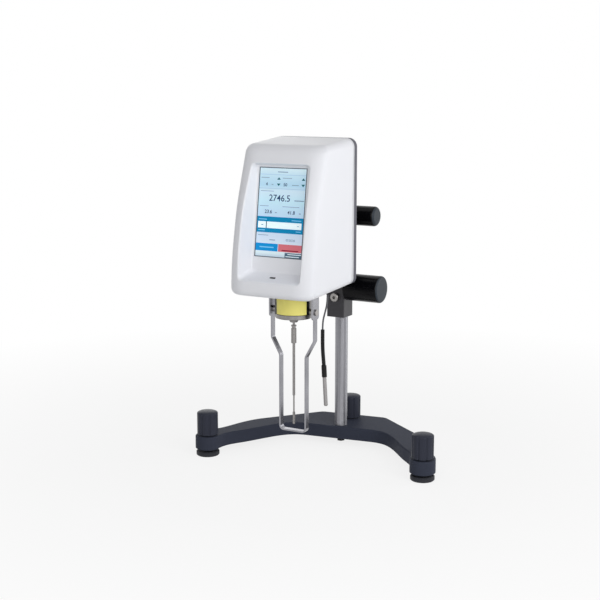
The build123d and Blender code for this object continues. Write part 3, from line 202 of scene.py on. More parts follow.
@dataclass(frozen=True)
class Finish:
    """A finish: colour, gloss, and the fine variation that a real surface has."""

    name: str
    colour: Triple
    roughness: float
    metallic: float = 0.0
    mottle: float = 0.04
    mottle_mm: float = 30.0
    rough_spread: float = 0.06
    grain_mm: float = 0.8
    grain_depth_mm: float = 0.02
    relief: float = 0.3
    grain: Grain = Grain.EVEN
    coat: float = 0.0
    coat_roughness: float = 0.08
    streak: float = 0.0
    specular: float = 0.5
    glow: float = 0.0

    def shade(self) -> Shading:
        """Build the node tree.

        Returns:
            The material under construction, so that a special finish can go on from it.
        """
        made = Shading(self.name)
        base = linear(self.colour)
        light = tuple(min(1.0, c * (1 + self.mottle)) for c in base[:3]) + (1.0,)
        dark = tuple(c * (1 - self.mottle) for c in base[:3]) + (1.0,)
        made.feed("Base Color", made.blend(made.noise(self.mottle_mm), dark, light))
        fine = made.noise(self.grain_mm, 2.0, self.grain)
        low, high = self.roughness - self.rough_spread, self.roughness + self.rough_spread
        made.feed("Roughness", made.ramp(fine, *NOISE_SPAN, max(LEAST_ROUGHNESS, low), min(1.0, high)))
        made.relief(fine, self.grain_depth_mm, self.relief)
        made.feed("Metallic", self.metallic)
        made.feed("Specular IOR Level", self.specular)
        made.feed("Coat Weight", self.coat)
        made.feed("Coat Roughness", self.coat_roughness)
        made.feed("Anisotropic", self.streak)
        made.feed("Anisotropic Rotation", QUARTER_TURN if self.streak else 0.0)
        if self.glow:
            made.feed("Emission Color", base)
            made.feed("Emission Strength", self.glow)
        return made

    def material(self) -> bpy.types.Material:
        """The finish's material, made once."""
        found = bpy.data.materials.get(self.name)
        return found if found else self.shade().material


@dataclass(frozen=True)
class BandFinish(Finish):
    """Plain yellow film with black edges, laid round the cylinder."""

    start_degrees: float = -122.5
    end_degrees: float = -18.9
    low_edge_z: float = 199.7
    side_fade: float = 0.004  # radians
    low_fade_mm: float = 0.05
    edge_colour: Triple = (0.05, 0.045, 0.04)

    def shade(self) -> Shading:
        """Build the node tree, with the edges found from the angle about the spindle axis.

        Returns:
            The material under construction.
        """
        made = super().shade()
        yellow = made.shader.inputs["Base Color"].links[0].from_socket
        parts = made.node("ShaderNodeSeparateXYZ", {0: made.place})
        across = made.maths("ADD", parts.outputs[0], -SPINDLE.x * MM)
        along = made.maths("ADD", parts.outputs[1], -SPINDLE.y * MM)
        middle = math.radians((self.start_degrees + self.end_degrees) / 2)
        half = math.radians((self.end_degrees - self.start_degrees) / 2)
        off = made.maths("ABSOLUTE", made.maths("SUBTRACT", made.maths("ARCTAN2", along, across), middle))
        side = made.ramp(off, half, half + self.side_fade, 0.0, 1.0)
        floor_z = self.low_edge_z * MM
        low = made.ramp(parts.outputs[2], floor_z - self.low_fade_mm * MM, floor_z, 1.0, 0.0)
        edges = made.maths("MAXIMUM", side, low)
        made.feed("Base Color", made.blend(edges, yellow, linear(self.edge_colour)))
        return made


@dataclass(frozen=True)
class PageFinish(Finish):
    """The lit page of the display: a pale blue ground that shades downwards."""

    top_z: float = 378.8
    bottom_z: float = 271.8
    bands: tuple[tuple[float, Triple], ...] = (
        (0.00, (0.66, 0.74, 0.8)),
        (0.05, (0.80, 0.87, 0.90)),
        (0.20, (0.77, 0.83, 0.90)),
        (0.42, (0.70, 0.80, 0.90)),
        (0.62, (0.72, 0.85, 0.91)),
        (0.74, (0.76, 0.85, 0.91)),
        (0.80, (0.66, 0.80, 0.88)),
        (0.92, (0.73, 0.84, 0.90)),
        (1.00, (0.80, 0.88, 0.91)),
    )

    def shade(self) -> Shading:
        """Build the node tree, with its bands by height.

        Returns:
            The material under construction.
        """
        made = super().shade()
        parts = made.node("ShaderNodeSeparateXYZ", {0: made.place})
        height = made.ramp(parts.outputs[2], self.bottom_z * MM, self.top_z * MM, 0.0, 1.0)
        ramp = made.node("ShaderNodeValToRGB", {"Fac": height})
        stops = ramp.color_ramp.elements
        stops[0].color, stops[1].color = linear(self.bands[0][1]), linear(self.bands[-1][1])
        for place, colour in self.bands[1:-1]:
            stops.new(place).color = linear(colour)
        made.feed("Base Color", ramp.outputs["Color"])
        made.feed("Emission Color", ramp.outputs["Color"])
        return made


SHELL_WHITE = Finish(
    "shell_white_plastic", (0.93, 0.935, 0.955), 0.36,
    mottle=0.01, grain_mm=0.45, grain_depth_mm=0.012, relief=0.25, specular=0.4,
)
COVER_GREY = Finish(
    "cover_grey_plastic", (0.34, 0.34, 0.38), 0.5,
    grain_mm=0.5, grain_depth_mm=0.03, relief=0.4, specular=0.3,
)
KNOB_BLACK = Finish(
    "knob_black_plastic", (0.034, 0.034, 0.044), 0.24,
    mottle=0.15, mottle_mm=12, grain_mm=1.6, grain_depth_mm=0.01, relief=0.2, specular=0.12,
)
# painted reflection: a lighter grey-blue colour laid on the black knobs' end faces in place of the
# reflection they show
KNOB_END_PAINTED_REFLECTION = Finish(
    "knob_end_painted_reflection", (0.145, 0.175, 0.205), 0.5,
    mottle=0.06, mottle_mm=8, grain_mm=0.4, grain_depth_mm=0.01, specular=0.25,
)
BASE_PAINT = Finish(
    "base_slate_paint", (0.225, 0.24, 0.29), 0.55,
    mottle=0.06, grain_mm=0.9, grain_depth_mm=0.05, relief=0.45, specular=0.06,
)
BRACKET_PAINT = Finish(
    "bracket_dark_paint", (0.19, 0.185, 0.205), 0.4,
    grain_mm=0.7, grain_depth_mm=0.03, relief=0.35, specular=0.45,
)
FOOT_PLASTIC = Finish(
    "foot_slate_plastic", (0.215, 0.225, 0.27), 0.3,
    grain_mm=0.6, grain_depth_mm=0.02, relief=0.3, specular=0.08,
)
PAD_RUBBER = Finish(
    "pad_dark_rubber", (0.15, 0.155, 0.18), 0.6,
    grain_mm=0.4, grain_depth_mm=0.05, relief=0.5, specular=0.3,
)
COLUMN_STEEL = Finish(
    "column_ground_steel", (0.56, 0.56, 0.58), 0.34,
    metallic=1.0, mottle=0.03, grain_mm=3.0, grain_depth_mm=0.002, relief=0.15, grain=Grain.TURNED,
    streak=0.85,
)
STAINLESS = Finish(
    "stainless_turned", (0.55, 0.54, 0.535), 0.32,
    metallic=1.0, mottle=0.12, mottle_mm=5, grain_mm=0.9, grain_depth_mm=0.003, relief=0.25,
    grain=Grain.TURNED, streak=0.7,
)
STRAP_STEEL = Finish(
    "stainless_strap", (0.60, 0.60, 0.62), 0.25,
    metallic=1.0, mottle=0.3, mottle_mm=24, grain_mm=0.6, grain_depth_mm=0.003, relief=0.2,
    grain=Grain.DRAWN,
)
ZINC = Finish(
    "zinc_plated", (0.62, 0.61, 0.60), 0.34,
    metallic=1.0, mottle=0.1, mottle_mm=3, grain_mm=0.5, grain_depth_mm=0.006,
)
BLACK_OXIDE = Finish(
    "black_oxide_steel", (0.12, 0.12, 0.13), 0.42,
    metallic=0.6, grain_mm=0.5, grain_depth_mm=0.01,
)
MATT_STEEL = Finish(
    "matt_probe_steel", (0.60, 0.59, 0.59), 0.45,
    metallic=1.0, mottle=0.06, mottle_mm=6, grain_mm=0.3, grain_depth_mm=0.01,
)
BRONZE = Finish(
    "sintered_bronze", (0.58, 0.42, 0.25), 0.5,
    metallic=1.0, mottle=0.12, mottle_mm=3, grain_mm=0.25, grain_depth_mm=0.03, relief=0.5,
)
ALUMINIUM = Finish(
    "aluminium_plate", (0.72, 0.73, 0.74), 0.4,
    metallic=1.0, grain_mm=0.4, grain_depth_mm=0.01, grain=Grain.CROSSWISE,
)
SPRING_COPPER = Finish(
    "spring_copper_alloy", (0.72, 0.47, 0.3), 0.28,
    metallic=1.0, grain_mm=0.2, grain_depth_mm=0.004,
)
BOARD_GREEN = Finish(
    "board_green_lacquer", (0.07, 0.27, 0.16), 0.35,
    mottle=0.18, mottle_mm=2.5, grain_mm=0.6, grain_depth_mm=0.02, coat=0.4,
)
CHIP_BLACK = Finish("chip_black_resin", (0.07, 0.07, 0.075), 0.5, grain_mm=0.3, grain_depth_mm=0.02)
MODULE_GREY = Finish(
    "module_grey_steel", (0.5, 0.51, 0.53), 0.38,
    metallic=0.8, grain_mm=0.5, grain_depth_mm=0.02,
)
FOAM_BLACK = Finish(
    "foam_black", (0.08, 0.08, 0.085), 0.9,
    mottle=0.2, mottle_mm=1.5, grain_mm=0.5, grain_depth_mm=0.15, relief=0.7,
)
MOTOR_BLACK = Finish("motor_black_enamel", (0.09, 0.09, 0.1), 0.35, grain_mm=0.8, grain_depth_mm=0.03)
SOCKET_BLACK = Finish(
    "socket_black_plastic", (0.07, 0.07, 0.08), 0.45,
    grain_mm=0.6, grain_depth_mm=0.02, specular=0.3,
)
CABLE_GREY = Finish("cable_grey_jacket", (0.36, 0.36, 0.38), 0.45, grain_mm=0.5, grain_depth_mm=0.02)
SLEEVE_BLACK = Finish(
    "sleeve_black_rubber", (0.035, 0.035, 0.04), 0.5,
    grain_mm=0.5, grain_depth_mm=0.03, specular=0.25,
)
BAND_YELLOW = BandFinish(
    "band_yellow_film", (0.97, 0.93, 0.52), 0.4,
    mottle=0.03, mottle_mm=6, grain_mm=0.8, grain_depth_mm=0.004, specular=0.3,
)
PAGE = PageFinish(
    "display_page", (0.76, 0.85, 0.91), 0.25,
    grain_mm=0.25, grain_depth_mm=0.001, relief=0.1, specular=0.3, glow=0.34,
)


def ink(name: str, colour: Triple, glow: float) -> Finish:
    """An ink of the display's page: smooth, and faintly lit from behind."""
    return Finish("page_" + name, colour, 0.35, grain_depth_mm=0.001, specular=0.1, glow=glow)


INK = {
    "dark": ink("dark_ink", (0.16, 0.27, 0.42), 0.2),
    "caption": ink("caption_ink", (0.50, 0.60, 0.68), 0.3),
    "teal": ink("teal_ink", (0.10, 0.40, 0.45), 0.2),
    "band": ink("blue_band", (0.05, 0.50, 0.69), 0.3),
    "button": ink("blue_button", (0.08, 0.54, 0.80), 0.3),
    "red": ink("red_button", (0.80, 0.43, 0.47), 0.3),
    "white": ink("white_ink", (0.90, 0.96, 0.98), 0.34),
    "sky": ink("pale_ink", (0.45, 0.74, 0.90), 0.3),
    "rose": ink("rose_ink", (0.55, 0.14, 0.22), 0.2),
    "rule": ink("rule_line", (0.62, 0.75, 0.83), 0.3),
    "strip": ink("dark_strip", (0.32, 0.42, 0.50), 0.2),
    "edge": Finish("page_dark_edge", (0.30, 0.34, 0.38), 0.3, grain_depth_mm=0.001),
}


def report(piece: bpy.types.Object, body: str) -> None:
    """Log a finished piece."""
    log.info("%s rides on %s", piece.name, body)


def make_piece(
    name: str, mesh: Mesh, finish: Finish, body: str, slot: str, *replaced: str
) -> bpy.types.Object:
    """Put a finished mesh on the instrument.

    Args:
        name: The piece's name.
        mesh: Its mesh, in metres and in place.
        finish: Its finish, used where the mesh has no material yet.
        body: The frame's body that it moves with.
        slot: The record's slot of its finish; not used.
        *replaced: The frame's nodes that it stands for.

    Returns:
        The new object.
    """
    if not mesh.materials:
        mesh.materials.append(finish.material())
    piece = bpy.data.objects.new(name, mesh)
    bpy.context.scene.collection.objects.link(piece)
    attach(piece, body)
    if replaced:
        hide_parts(*replaced)
    report(piece, body)
    return piece


def smooth(mesh: Mesh, degrees: float = 35.0) -> Mesh:
    """Shade a mesh smooth, with sharp edges where its faces meet at more than the given angle."""
    mesh.shade_smooth()
    mesh.set_sharp_from_angle(angle=math.radians(degrees))
    return mesh


def mesh_of(name: str, points: list[Vector], faces: list[tuple[int, ...]]) -> Mesh:
    """Make a mesh.

    Args:
        name: The mesh's name.
        points: Its points, in millimetres.
        faces: The numbers of each face's points.

    Returns:
        The mesh, in metres.
    """
    mesh = bpy.data.meshes.new(name)
    mesh.from_pydata([Vector(p) * MM for p in points], [], faces)
    mesh.validate()
    mesh.update()
    return mesh


def shift(x: float, y: float, z: float) -> Matrix:
    """A move by millimetres."""
    return Matrix.Translation(Vector((x, y, z)) * MM)


def turn_to(across: Vector, along: Vector, out: Vector) -> Matrix:
    """The turn that lays a form's own X, Y and Z along three directions."""
    return Matrix((across, along, out)).transposed().to_4x4()


def rounding(radius: float, steps: int) -> list[Pair]:
    """Work out a rounded edge of quarter section.

    Args:
        radius: Its radius.
        steps: How many steps it has.

    Returns:
        How far each of its lines lies past the edge's end face and inside its side.
    """
    turns = [math.radians(90 * i / steps) for i in range(steps + 1)]
    return [(radius * (1 - math.cos(turn)), radius * (1 - math.sin(turn))) for turn in turns]


FACING_FRONT = turn_to(Vector((1, 0, 0)), Vector((0, 0, 1)), Vector((0, -1, 0)))
FACING_REAR = turn_to(Vector((-1, 0, 0)), Vector((0, 0, 1)), Vector((0, 1, 0)))


class FormTree(NodeWork):
    """A Geometry Nodes tree that makes one repeating or ruled form."""

    def __init__(self, name: str) -> None:
        """Start a tree with a geometry input and output.

        Args:
            name: The tree's name.
        """
        self.name = name
        self.tree = bpy.data.node_groups.new(name, "GeometryNodeTree")
        super().__init__(self.tree)
        for way in ("INPUT", "OUTPUT"):
            self.tree.interface.new_socket("Geometry", in_out=way, socket_type="NodeSocketGeometry")
        self.given = self.node("NodeGroupInput")
        self.ending = self.node("NodeGroupOutput")
        self.values: dict[str, float] = {}

    def size(self, name: str, value: float, kind: str = "NodeSocketFloat") -> Socket:
        """Add a named input and remember its value under the socket's identifier."""
        made = self.tree.interface.new_socket(name, in_out="INPUT", socket_type=kind)
        self.values[made.identifier] = value
        return self.given.outputs[name]

    def length(self, name: str, millimetres: float) -> Socket:
        """Add a named input for a length."""
        return self.size(name, millimetres * MM)

    def raised(self, geometry: Socket, height: object) -> Socket:
        """A geometry moved up by a height."""
        move = self.result("ShaderNodeCombineXYZ", {2: height})
        return self.result("GeometryNodeTransform", {"Geometry": geometry, "Translation": move})

    def rod(self, sides: int, radius: object, length: object) -> Socket:
        """An upright rod with its middle at the origin."""
        feeds = {"Vertices": sides, "Radius": radius, "Depth": length}
        return self.result("GeometryNodeMeshCylinder", feeds)

    def cone(self, sides: int, low: object, high: object, height: object) -> Socket:
        """An upright cone that stands on the origin, from its low radius to its high one."""
        feeds = {"Vertices": sides, "Radius Bottom": low, "Radius Top": high, "Depth": height}
        return self.result("GeometryNodeMeshCone", feeds)

    def ring(self, points: int, radius: object) -> Socket:
        """A circle with the given number of points."""
        return self.result("GeometryNodeCurvePrimitiveCircle", {"Resolution": points, "Radius": radius})

    def coil(self, points: int, turns: object, inner: object, outer: object, rise: object) -> Socket:
        """A spiral with the given number of points to a turn."""
        feeds = {"Resolution": points, "Rotations": turns, "Start Radius": inner, "End Radius": outer}
        return self.result("GeometryNodeCurveSpiral", {**feeds, "Height": rise})

    def sweep(self, path: Socket, section: Socket, **more: object) -> Socket:
        """A section drawn along a path, with closed ends."""
        feeds = {"Curve": path, "Profile Curve": section, "Fill Caps": True, **more}
        return self.result("GeometryNodeCurveToMesh", feeds)

    def grow(self, source: Socket, finish: Finish, at: list[Vector] | None = None) -> Mesh:
        """Close the tree, run it once and keep the plain mesh.

        Args:
            source: The geometry to end with.
            finish: The finish that the tree sets.
            at: Points in millimetres to run it on, where the form is repeated.

        Returns:
            The mesh, in metres, in the tree's own axes.
        """
        real = self.result("GeometryNodeRealizeInstances", {"Geometry": source})
        dressed = self.result("GeometryNodeSetMaterial", {"Geometry": real, "Material": finish.material()})
        self.links.new(dressed, self.ending.inputs[0])
        carrier = bpy.data.objects.new(self.name, mesh_of(self.name + "_seed", at or [], []))
        bpy.context.scene.collection.objects.link(carrier)
        modifier = carrier.modifiers.new("form", "NODES")
        modifier.node_group = self.tree
        for identifier, value in self.values.items():
            modifier[identifier] = value
        mesh = bpy.data.meshes.new_from_object(carrier.evaluated_get(bpy.context.evaluated_depsgraph_get()))
        carrier.modifiers.clear()
        bpy.data.objects.remove(carrier)
        return mesh


@dataclass(frozen=True)
class Lamp:
    """One square soft lamp that faces the instrument."""

    name: str
    place: Triple  # metres
    size: float  # metres
    watts: float

    def make(self, target: Vector) -> None:
        """Hang the lamp and turn it to its target.

        Args:
            target: The place that it faces, in metres.
        """
        data = bpy.data.lights.new(self.name, "AREA")
        data.energy = self.watts
        data.size = self.size
        lamp = bpy.data.objects.new(self.name, data)
        lamp.location = self.place
        lamp.rotation_euler = (target - Vector(self.place)).to_track_quat("-Z", "Y").to_euler()
        bpy.context.scene.collection.objects.link(lamp)


@dataclass
class Studio:
    """Camera, soft lamps, white surroundings and a pale floor."""

    lens: float = 75.6
    sensor: float = 36.0
    sight: float = 30.0  # metres
    eye: Triple = (746.70, -1381.32, 486.12)
    ahead: Triple = (-0.48843, 0.85487, -0.17519)
    right: Triple = (0.8683, 0.4961, 0.0)
    target: Triple = (0.0, 0.0, 0.22)  # metres
    lamps: tuple[Lamp, ...] = (
        Lamp("key_lamp", (1.5, -0.75, 0.95), 1.1, 12.0),
        Lamp("fill_lamp", (0.75, -1.9, 1.0), 1.2, 9.5),
        Lamp("rim_lamp", (1.5, 1.3, 0.45), 0.9, 7.5),
        Lamp("back_lamp", (-1.3, 1.3, 0.8), 1.0, 2.0),
    )
    surround: float = 0.30
    floor_half: float = 6.0  # metres
    floor_tone: float = 0.97
    white_from: float = 0.25  # metres
    white_to: float = 0.9  # metres
    white_share: float = 0.82

    def make_camera(self) -> None:
        """Place the camera and make it the scene's."""
        data = bpy.data.cameras.new("camera")
        data.lens = self.lens
        data.sensor_width = self.sensor
        data.sensor_fit = "HORIZONTAL"
        data.clip_end = self.sight
        camera = bpy.data.objects.new("camera", data)
        back = -Vector(self.ahead).normalized()
        side = Vector(self.right).normalized()
        camera.matrix_world = shift(*self.eye) @ turn_to(side, back.cross(side), back)
        bpy.context.scene.collection.objects.link(camera)
        bpy.context.scene.camera = camera

    def make_world(self) -> None:
        """White to the camera and in reflections, softer as light on the instrument."""
        world = bpy.data.worlds.new("surroundings")
        bpy.context.scene.world = world
        world.use_nodes = True
        made = NodeWork(world.node_tree)
        ray = made.node("ShaderNodeLightPath").outputs
        seen = made.maths("MAXIMUM", ray["Is Camera Ray"], ray["Is Transmission Ray"])
        seen = made.maths("MAXIMUM", seen, ray["Is Glossy Ray"])
        strength = made.result("ShaderNodeMapRange", {"Value": seen, "To Min": self.surround, "To Max": 1.0})
        sky = made.nodes["Background"]
        made.join((1, 1, 1, 1), sky.inputs["Color"])
        made.join(strength, sky.inputs["Strength"])

    def make_floor(self) -> None:
        """A pale floor that keeps the shadow near the instrument and turns white further out."""
        half = self.floor_half / MM
        corners = [Vector((x * half, y * half, 0)) for x, y in ((-1, -1), (1, -1), (1, 1), (-1, 1))]
        mesh = mesh_of("floor", corners, [(0, 1, 2, 3)])
        floor = bpy.data.objects.new("floor", mesh)
        bpy.context.scene.collection.objects.link(floor)
        made = Shading("floor_paper")
        made.feed("Base Color", linear((self.floor_tone,) * 3))
        made.feed("Roughness", 0.9)
        made.feed("Specular IOR Level", 0.1)
        distance = made.node("ShaderNodeVectorMath", {0: made.place}, operation="LENGTH").outputs["Value"]
        away = made.ramp(distance, self.white_from, self.white_to, self.white_share, 1.0)
        ray = made.node("ShaderNodeLightPath").outputs
        seen = made.maths("MAXIMUM", ray["Is Camera Ray"], ray["Is Glossy Ray"])
        share = made.maths("MULTIPLY", away, seen)
        white = made.result("ShaderNodeEmission", {"Strength": 1.0})
        mix = made.result("ShaderNodeMixShader", {0: share, 1: made.shader.outputs[0], 2: white})
        made.join(mix, made.nodes["Material Output"].inputs["Surface"])
        mesh.materials.append(made.material)

    def make(self) -> None:
        """Make everything round the instrument, and set the view."""
        bpy.context.scene.view_settings.view_transform = "Standard"
        for lamp in self.lamps:
            lamp.make(Vector(self.target))
        self.make_world()
        self.make_floor()


@dataclass
class Probe:
    """Temperature probe: its lead is a free cord from the gland to the sleeve."""

    behind: float = 34.0
    route: tuple[Pair, ...] = (
        (28.6, 220.0), (28.6, 209.0), (25.2, 196.0), (21.9, 184.5), (21.9, 174.0),
    )
    lead_radius: float = 1.1
    lead_length: float = 46.8

    def make_lead(self) -> None:
        curve = bpy.data.curves.new("probe_lead", "CURVE")
        curve.dimensions = "3D"
        curve.bevel_depth = self.lead_radius * MM
        curve.bevel_resolution = 5
        curve.use_fill_caps = True
        line = curve.splines.new("NURBS")
        line.points.add(len(self.route) - 1)
        for point, (x, z) in zip(line.points, self.route):
            point.co = (*((SPINDLE + Vector((x, self.behind, z))) * MM), 1.0)
        line.order_u = 3
        line.use_endpoint_u = True
        line.resolution_u = 16
        curve.materials.append(CABLE_GREY.material())
        lead = bpy.data.objects.new("probe_lead", curve)
        bpy.context.scene.collection.objects.link(lead)
        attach(lead, "carriage")
        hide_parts("probe_cable")
        x, z = self.route[0]
        report(lead, "carriage")


@dataclass
class HeadShell:
    """White front shell of the head, with the recess round the display."""

    half_width: float = 57.0
    wall: float = 3.0
    rear: float = 49.0
    low_z: float = 225.5
    high_z: float = 406.0
    rear_low_z: float = 231.9
    rear_high_z: float = 411.7
    corner_across: float = 24.0
    corner_deep: float = 11.0
    fine_from: float = 30.0
    fine_to: float = 45.0
    fine_step: float = 0.6
    coarse_step: float = 3.0
    edge_gap: float = 0.03
    edge_clear: float = 0.2
    corner_start: float = 0.5
    low_steps: int = 8
    top_steps: int = 10
    side_steps: int = 14
    top_round: float = 11.0
    low_round: float = 8.0
    floor_half: float = 35.6
    rim_half: float = 42.5
    floor_lean: float = 7.7
    rim_lean: float = 10.4
    floor_ahead: float = 31.6
    rim_ahead: float = 46.5
    middle_z: float = 325.3
    floor_span: Pair = (-72.5, 56.0)
    rim_span: Pair = (-81.7, 60.5)
    recess_corner: float = 5.0
    recess_reach: float = 49.0
    climb_limits: Pair = (-0.6, 2.4)
    climb_halvings: int = 11
    rim_blend: float = 2.6
    floor_blend: float = 0.16
    window_half: float = 33.1
    window_high: float = 54.0
    window_depth: float = 1.3
    slot_z: float = 249.0
    slot_half: float = 4.0
    slot_radius: float = 1.0
    slot_depth: float = 1.6
    cylinder_hole: float = 23.3
    gland_hole: float = 3.3
    gland_place: Pair = (28.6, 34.0)
    profile: tuple[Pair, ...] = (
        (62.0, 225.5), (62.0, 240.0), (60.3, 263.0), (56.0, 292.0),
        (48.0, 330.0), (36.6, 367.0), (23.5, 406.0),
    )

    def reach(self, z: float) -> float:
        """How far the front lies ahead of the spindle axis, on a smooth line through the profile.

        Args:
            z: Height.

        Returns:
            The distance, in millimetres.
        """
        points = self.profile
        z = min(max(z, points[0][1]), points[-1][1])
        k = max(i for i in range(len(points) - 1) if points[i][1] <= z)
        slopes = []
        for i in (k, k + 1):
            before, after = points[max(i - 1, 0)], points[min(i + 1, len(points) - 1)]
            slopes.append((after[0] - before[0]) / (after[1] - before[1]))
        span = points[k + 1][1] - points[k][1]
        t = (z - points[k][1]) / span
        return (
            (2 * t**3 - 3 * t**2 + 1) * points[k][0]
            + (t**3 - 2 * t**2 + t) * span * slopes[0]
            + (3 * t**2 - 2 * t**3) * points[k + 1][0]
            + (t**3 - t**2) * span * slopes[1]
        )

    def climb(self, x: float, z: float) -> float:
        """How far a place lies from the recess floor towards its rim.

        Args:
            x: Place across the head.
            z: Height.

        Returns:
            0 on the floor's outline, 1 on the rim's, less inside the floor and more outside the rim.
        """
        lean, rim_lean = math.radians(self.floor_lean), math.radians(self.rim_lean)
        low, high = (self.middle_z + s * math.cos(lean) for s in self.floor_span)
        rim_low, rim_high = (self.middle_z + s * math.cos(rim_lean) for s in self.rim_span)
        below, above = self.climb_limits
        for _ in range(self.climb_halvings):
            share = (below + above) / 2
            half = self.floor_half + share * (self.rim_half - self.floor_half)
            bottom, top = low + share * (rim_low - low), high + share * (rim_high - high)
            across = abs(x) - half + self.recess_corner
            along = abs(z - (top + bottom) / 2) - (top - bottom) / 2 + self.recess_corner
            out = math.hypot(max(across, 0), max(along, 0)) + min(max(across, along), 0) - self.recess_corner
            if out > 0:
                below = share
            else:
                above = share
        return (below + above) / 2

    def recess_y(self, x: float, z: float) -> float:
        """Where the recess's surface lies, which runs on forwards past its rim.

        Args:
            x: Place across the head.
            z: Height.

        Returns:
            Y from the spindle axis, in millimetres.
        """
        lean, rim_lean = math.radians(self.floor_lean), math.radians(self.rim_lean)
        floor_y = -self.floor_ahead + (z - self.middle_z) * math.tan(lean)
        rim_y = -self.rim_ahead + (z - self.middle_z) * math.tan(rim_lean)
        climb = self.climb(x, z)
        near = max(self.floor_blend - abs(climb), 0.0) / self.floor_blend
        climb = max(climb, 0.0) + near * near * self.floor_blend / 4
        surface = floor_y + climb * (rim_y - floor_y)
        window_z = abs(z - self.middle_z) / math.cos(lean)
        if abs(x) < self.window_half and window_z < self.window_high:
            surface += self.window_depth
        slot = math.hypot(max(abs(x) - self.slot_half + self.slot_radius, 0), z - self.slot_z)
        if slot < self.slot_radius:
            surface += self.slot_depth
        return surface

    def columns(self) -> list[float]:
        """Lay out the upright lines on the right half of the front, as far as its corner's steep part.

        Returns:
            Their places across the head.
        """
        wide = [0.0, 2.4, 3.0, 3.4, 3.7, 3.9, 4.1, 5.0, 12.0, 20.0, 26.0, 29.0]
        steps = int((self.fine_to - self.fine_from) / self.fine_step)
        fine = [self.fine_from + self.fine_step * i for i in range(steps + 1)]
        fine = [x for x in fine if abs(x - self.window_half) > self.edge_clear]
        return sorted(wide + fine + [self.window_half - self.edge_gap, self.window_half + self.edge_gap])

    def rows(self) -> list[Pair]:
        """Lay out the lines round the shell, close together where the recess's walls are.

        Returns:
            Height and inset of each, from the underside up.
        """
        heights = [236.0, 239.0, 393.0]
        heights += [241.0 + self.fine_step * i for i in range(36)]
        heights += [263.0 + self.coarse_step * i for i in range(37)]
        heights += [373.5 + self.fine_step * i for i in range(31)]
        edge = self.window_high * math.cos(math.radians(self.floor_lean))
        for middle, reach in ((self.middle_z, edge), (self.slot_z, self.slot_radius)):
            for z in (middle - reach, middle + reach):
                heights = [h for h in heights if abs(h - z) > self.edge_clear]
                heights += [z - self.edge_gap, z + self.edge_gap]
        low = [(self.low_z + up, inset) for up, inset in rounding(self.low_round, self.low_steps)]
        top = [(self.high_z - down, inset) for down, inset in rounding(self.top_round, self.top_steps)]
        return low + [(z, 0.0) for z in sorted(heights)] + top[::-1]

    def half_row(self, front: float, inset: float) -> list[Pair]:
        """The right half of a line round the shell: its flat front, its corner and its side.

        Args:
            front: Y of the flat front, from the spindle axis.
            inset: How far the line lies inside the shell's widest outline.

        Returns:
            Its points, from the middle of the front to the rear.
        """
        across, deep = self.corner_across - inset, self.corner_deep - inset
        flat = self.half_width - self.corner_across
        line = []
        for x in self.columns():
            part = max(0.0, x - flat) / self.corner_across
            line.append((min(x, flat) + across * part, front + deep * (1 - math.sqrt(1 - part * part))))
        first = math.asin((self.fine_to + self.corner_start - flat) / self.corner_across)
        for i in range(self.side_steps + 1):
            a = first + (math.pi / 2 - first) * i / self.side_steps
            line.append((flat + across * math.sin(a), front + deep * (1 - math.cos(a))))
        start, side_x = front + deep, self.half_width - inset
        steps = range(1, self.side_steps + 1)
        return line + [(side_x, start + (self.rear - start) * i / self.side_steps) for i in steps]

    def row_points(self, z: float, inset: float) -> list[Vector]:
        """One line round the shell, with the recess cut into it.

        Args:
            z: Its height at the front.
            inset: How far it lies inside the shell's widest outline.

        Returns:
            Its points, from the left rear to the right rear.
        """
        front = inset - self.reach(z)
        t = (z - self.low_z) / (self.high_z - self.low_z)
        rise = (1 - t) * (self.rear_low_z - self.low_z) + t * (self.rear_high_z - self.high_z)
        points = []
        for x, y in self.half_row(front, inset):
            share = max(0.0, (y - front) / (self.rear - front))
            if x < self.recess_reach and inset == 0.0:
                cut = self.recess_y(x, z)
                near = max(self.rim_blend - abs(y - cut), 0.0) / self.rim_blend
                y = max(y, cut) + near * near * self.rim_blend / 4
            points.append(Vector((x, y, z + share * rise)))
        left = [Vector((-p.x, p.y, p.z)) for p in reversed(points[1:])]
        return left + points

    def hole(
        self, build: bmesh.types.BMesh, x: float, y: float, radius: float, count: int
    ) -> list[bmesh.types.BMEdge]:
        """Draw the edge of a round hole on the leaning underside.

        Args:
            build: The mesh that takes it.
            x: The hole's middle, across from the spindle axis.
            y: The hole's middle, behind the spindle axis.
            radius: Its radius.
            count: How many edges it has.

        Returns:
            Its edges.
        """
        front = self.low_round - self.reach(self.low_z)
        slope = (self.rear_low_z - self.low_z) / (self.rear - front)
        ring = []
        for i in range(count):
            a = 2 * math.pi * i / count
            px, py = x + radius * math.cos(a), y + radius * math.sin(a)
            place = Vector((px, py, self.low_z + slope * (py - front)))
            ring.append(build.verts.new((SPINDLE + place) * MM))
        return [build.edges.new((ring[i], ring[(i + 1) % count])) for i in range(count)]

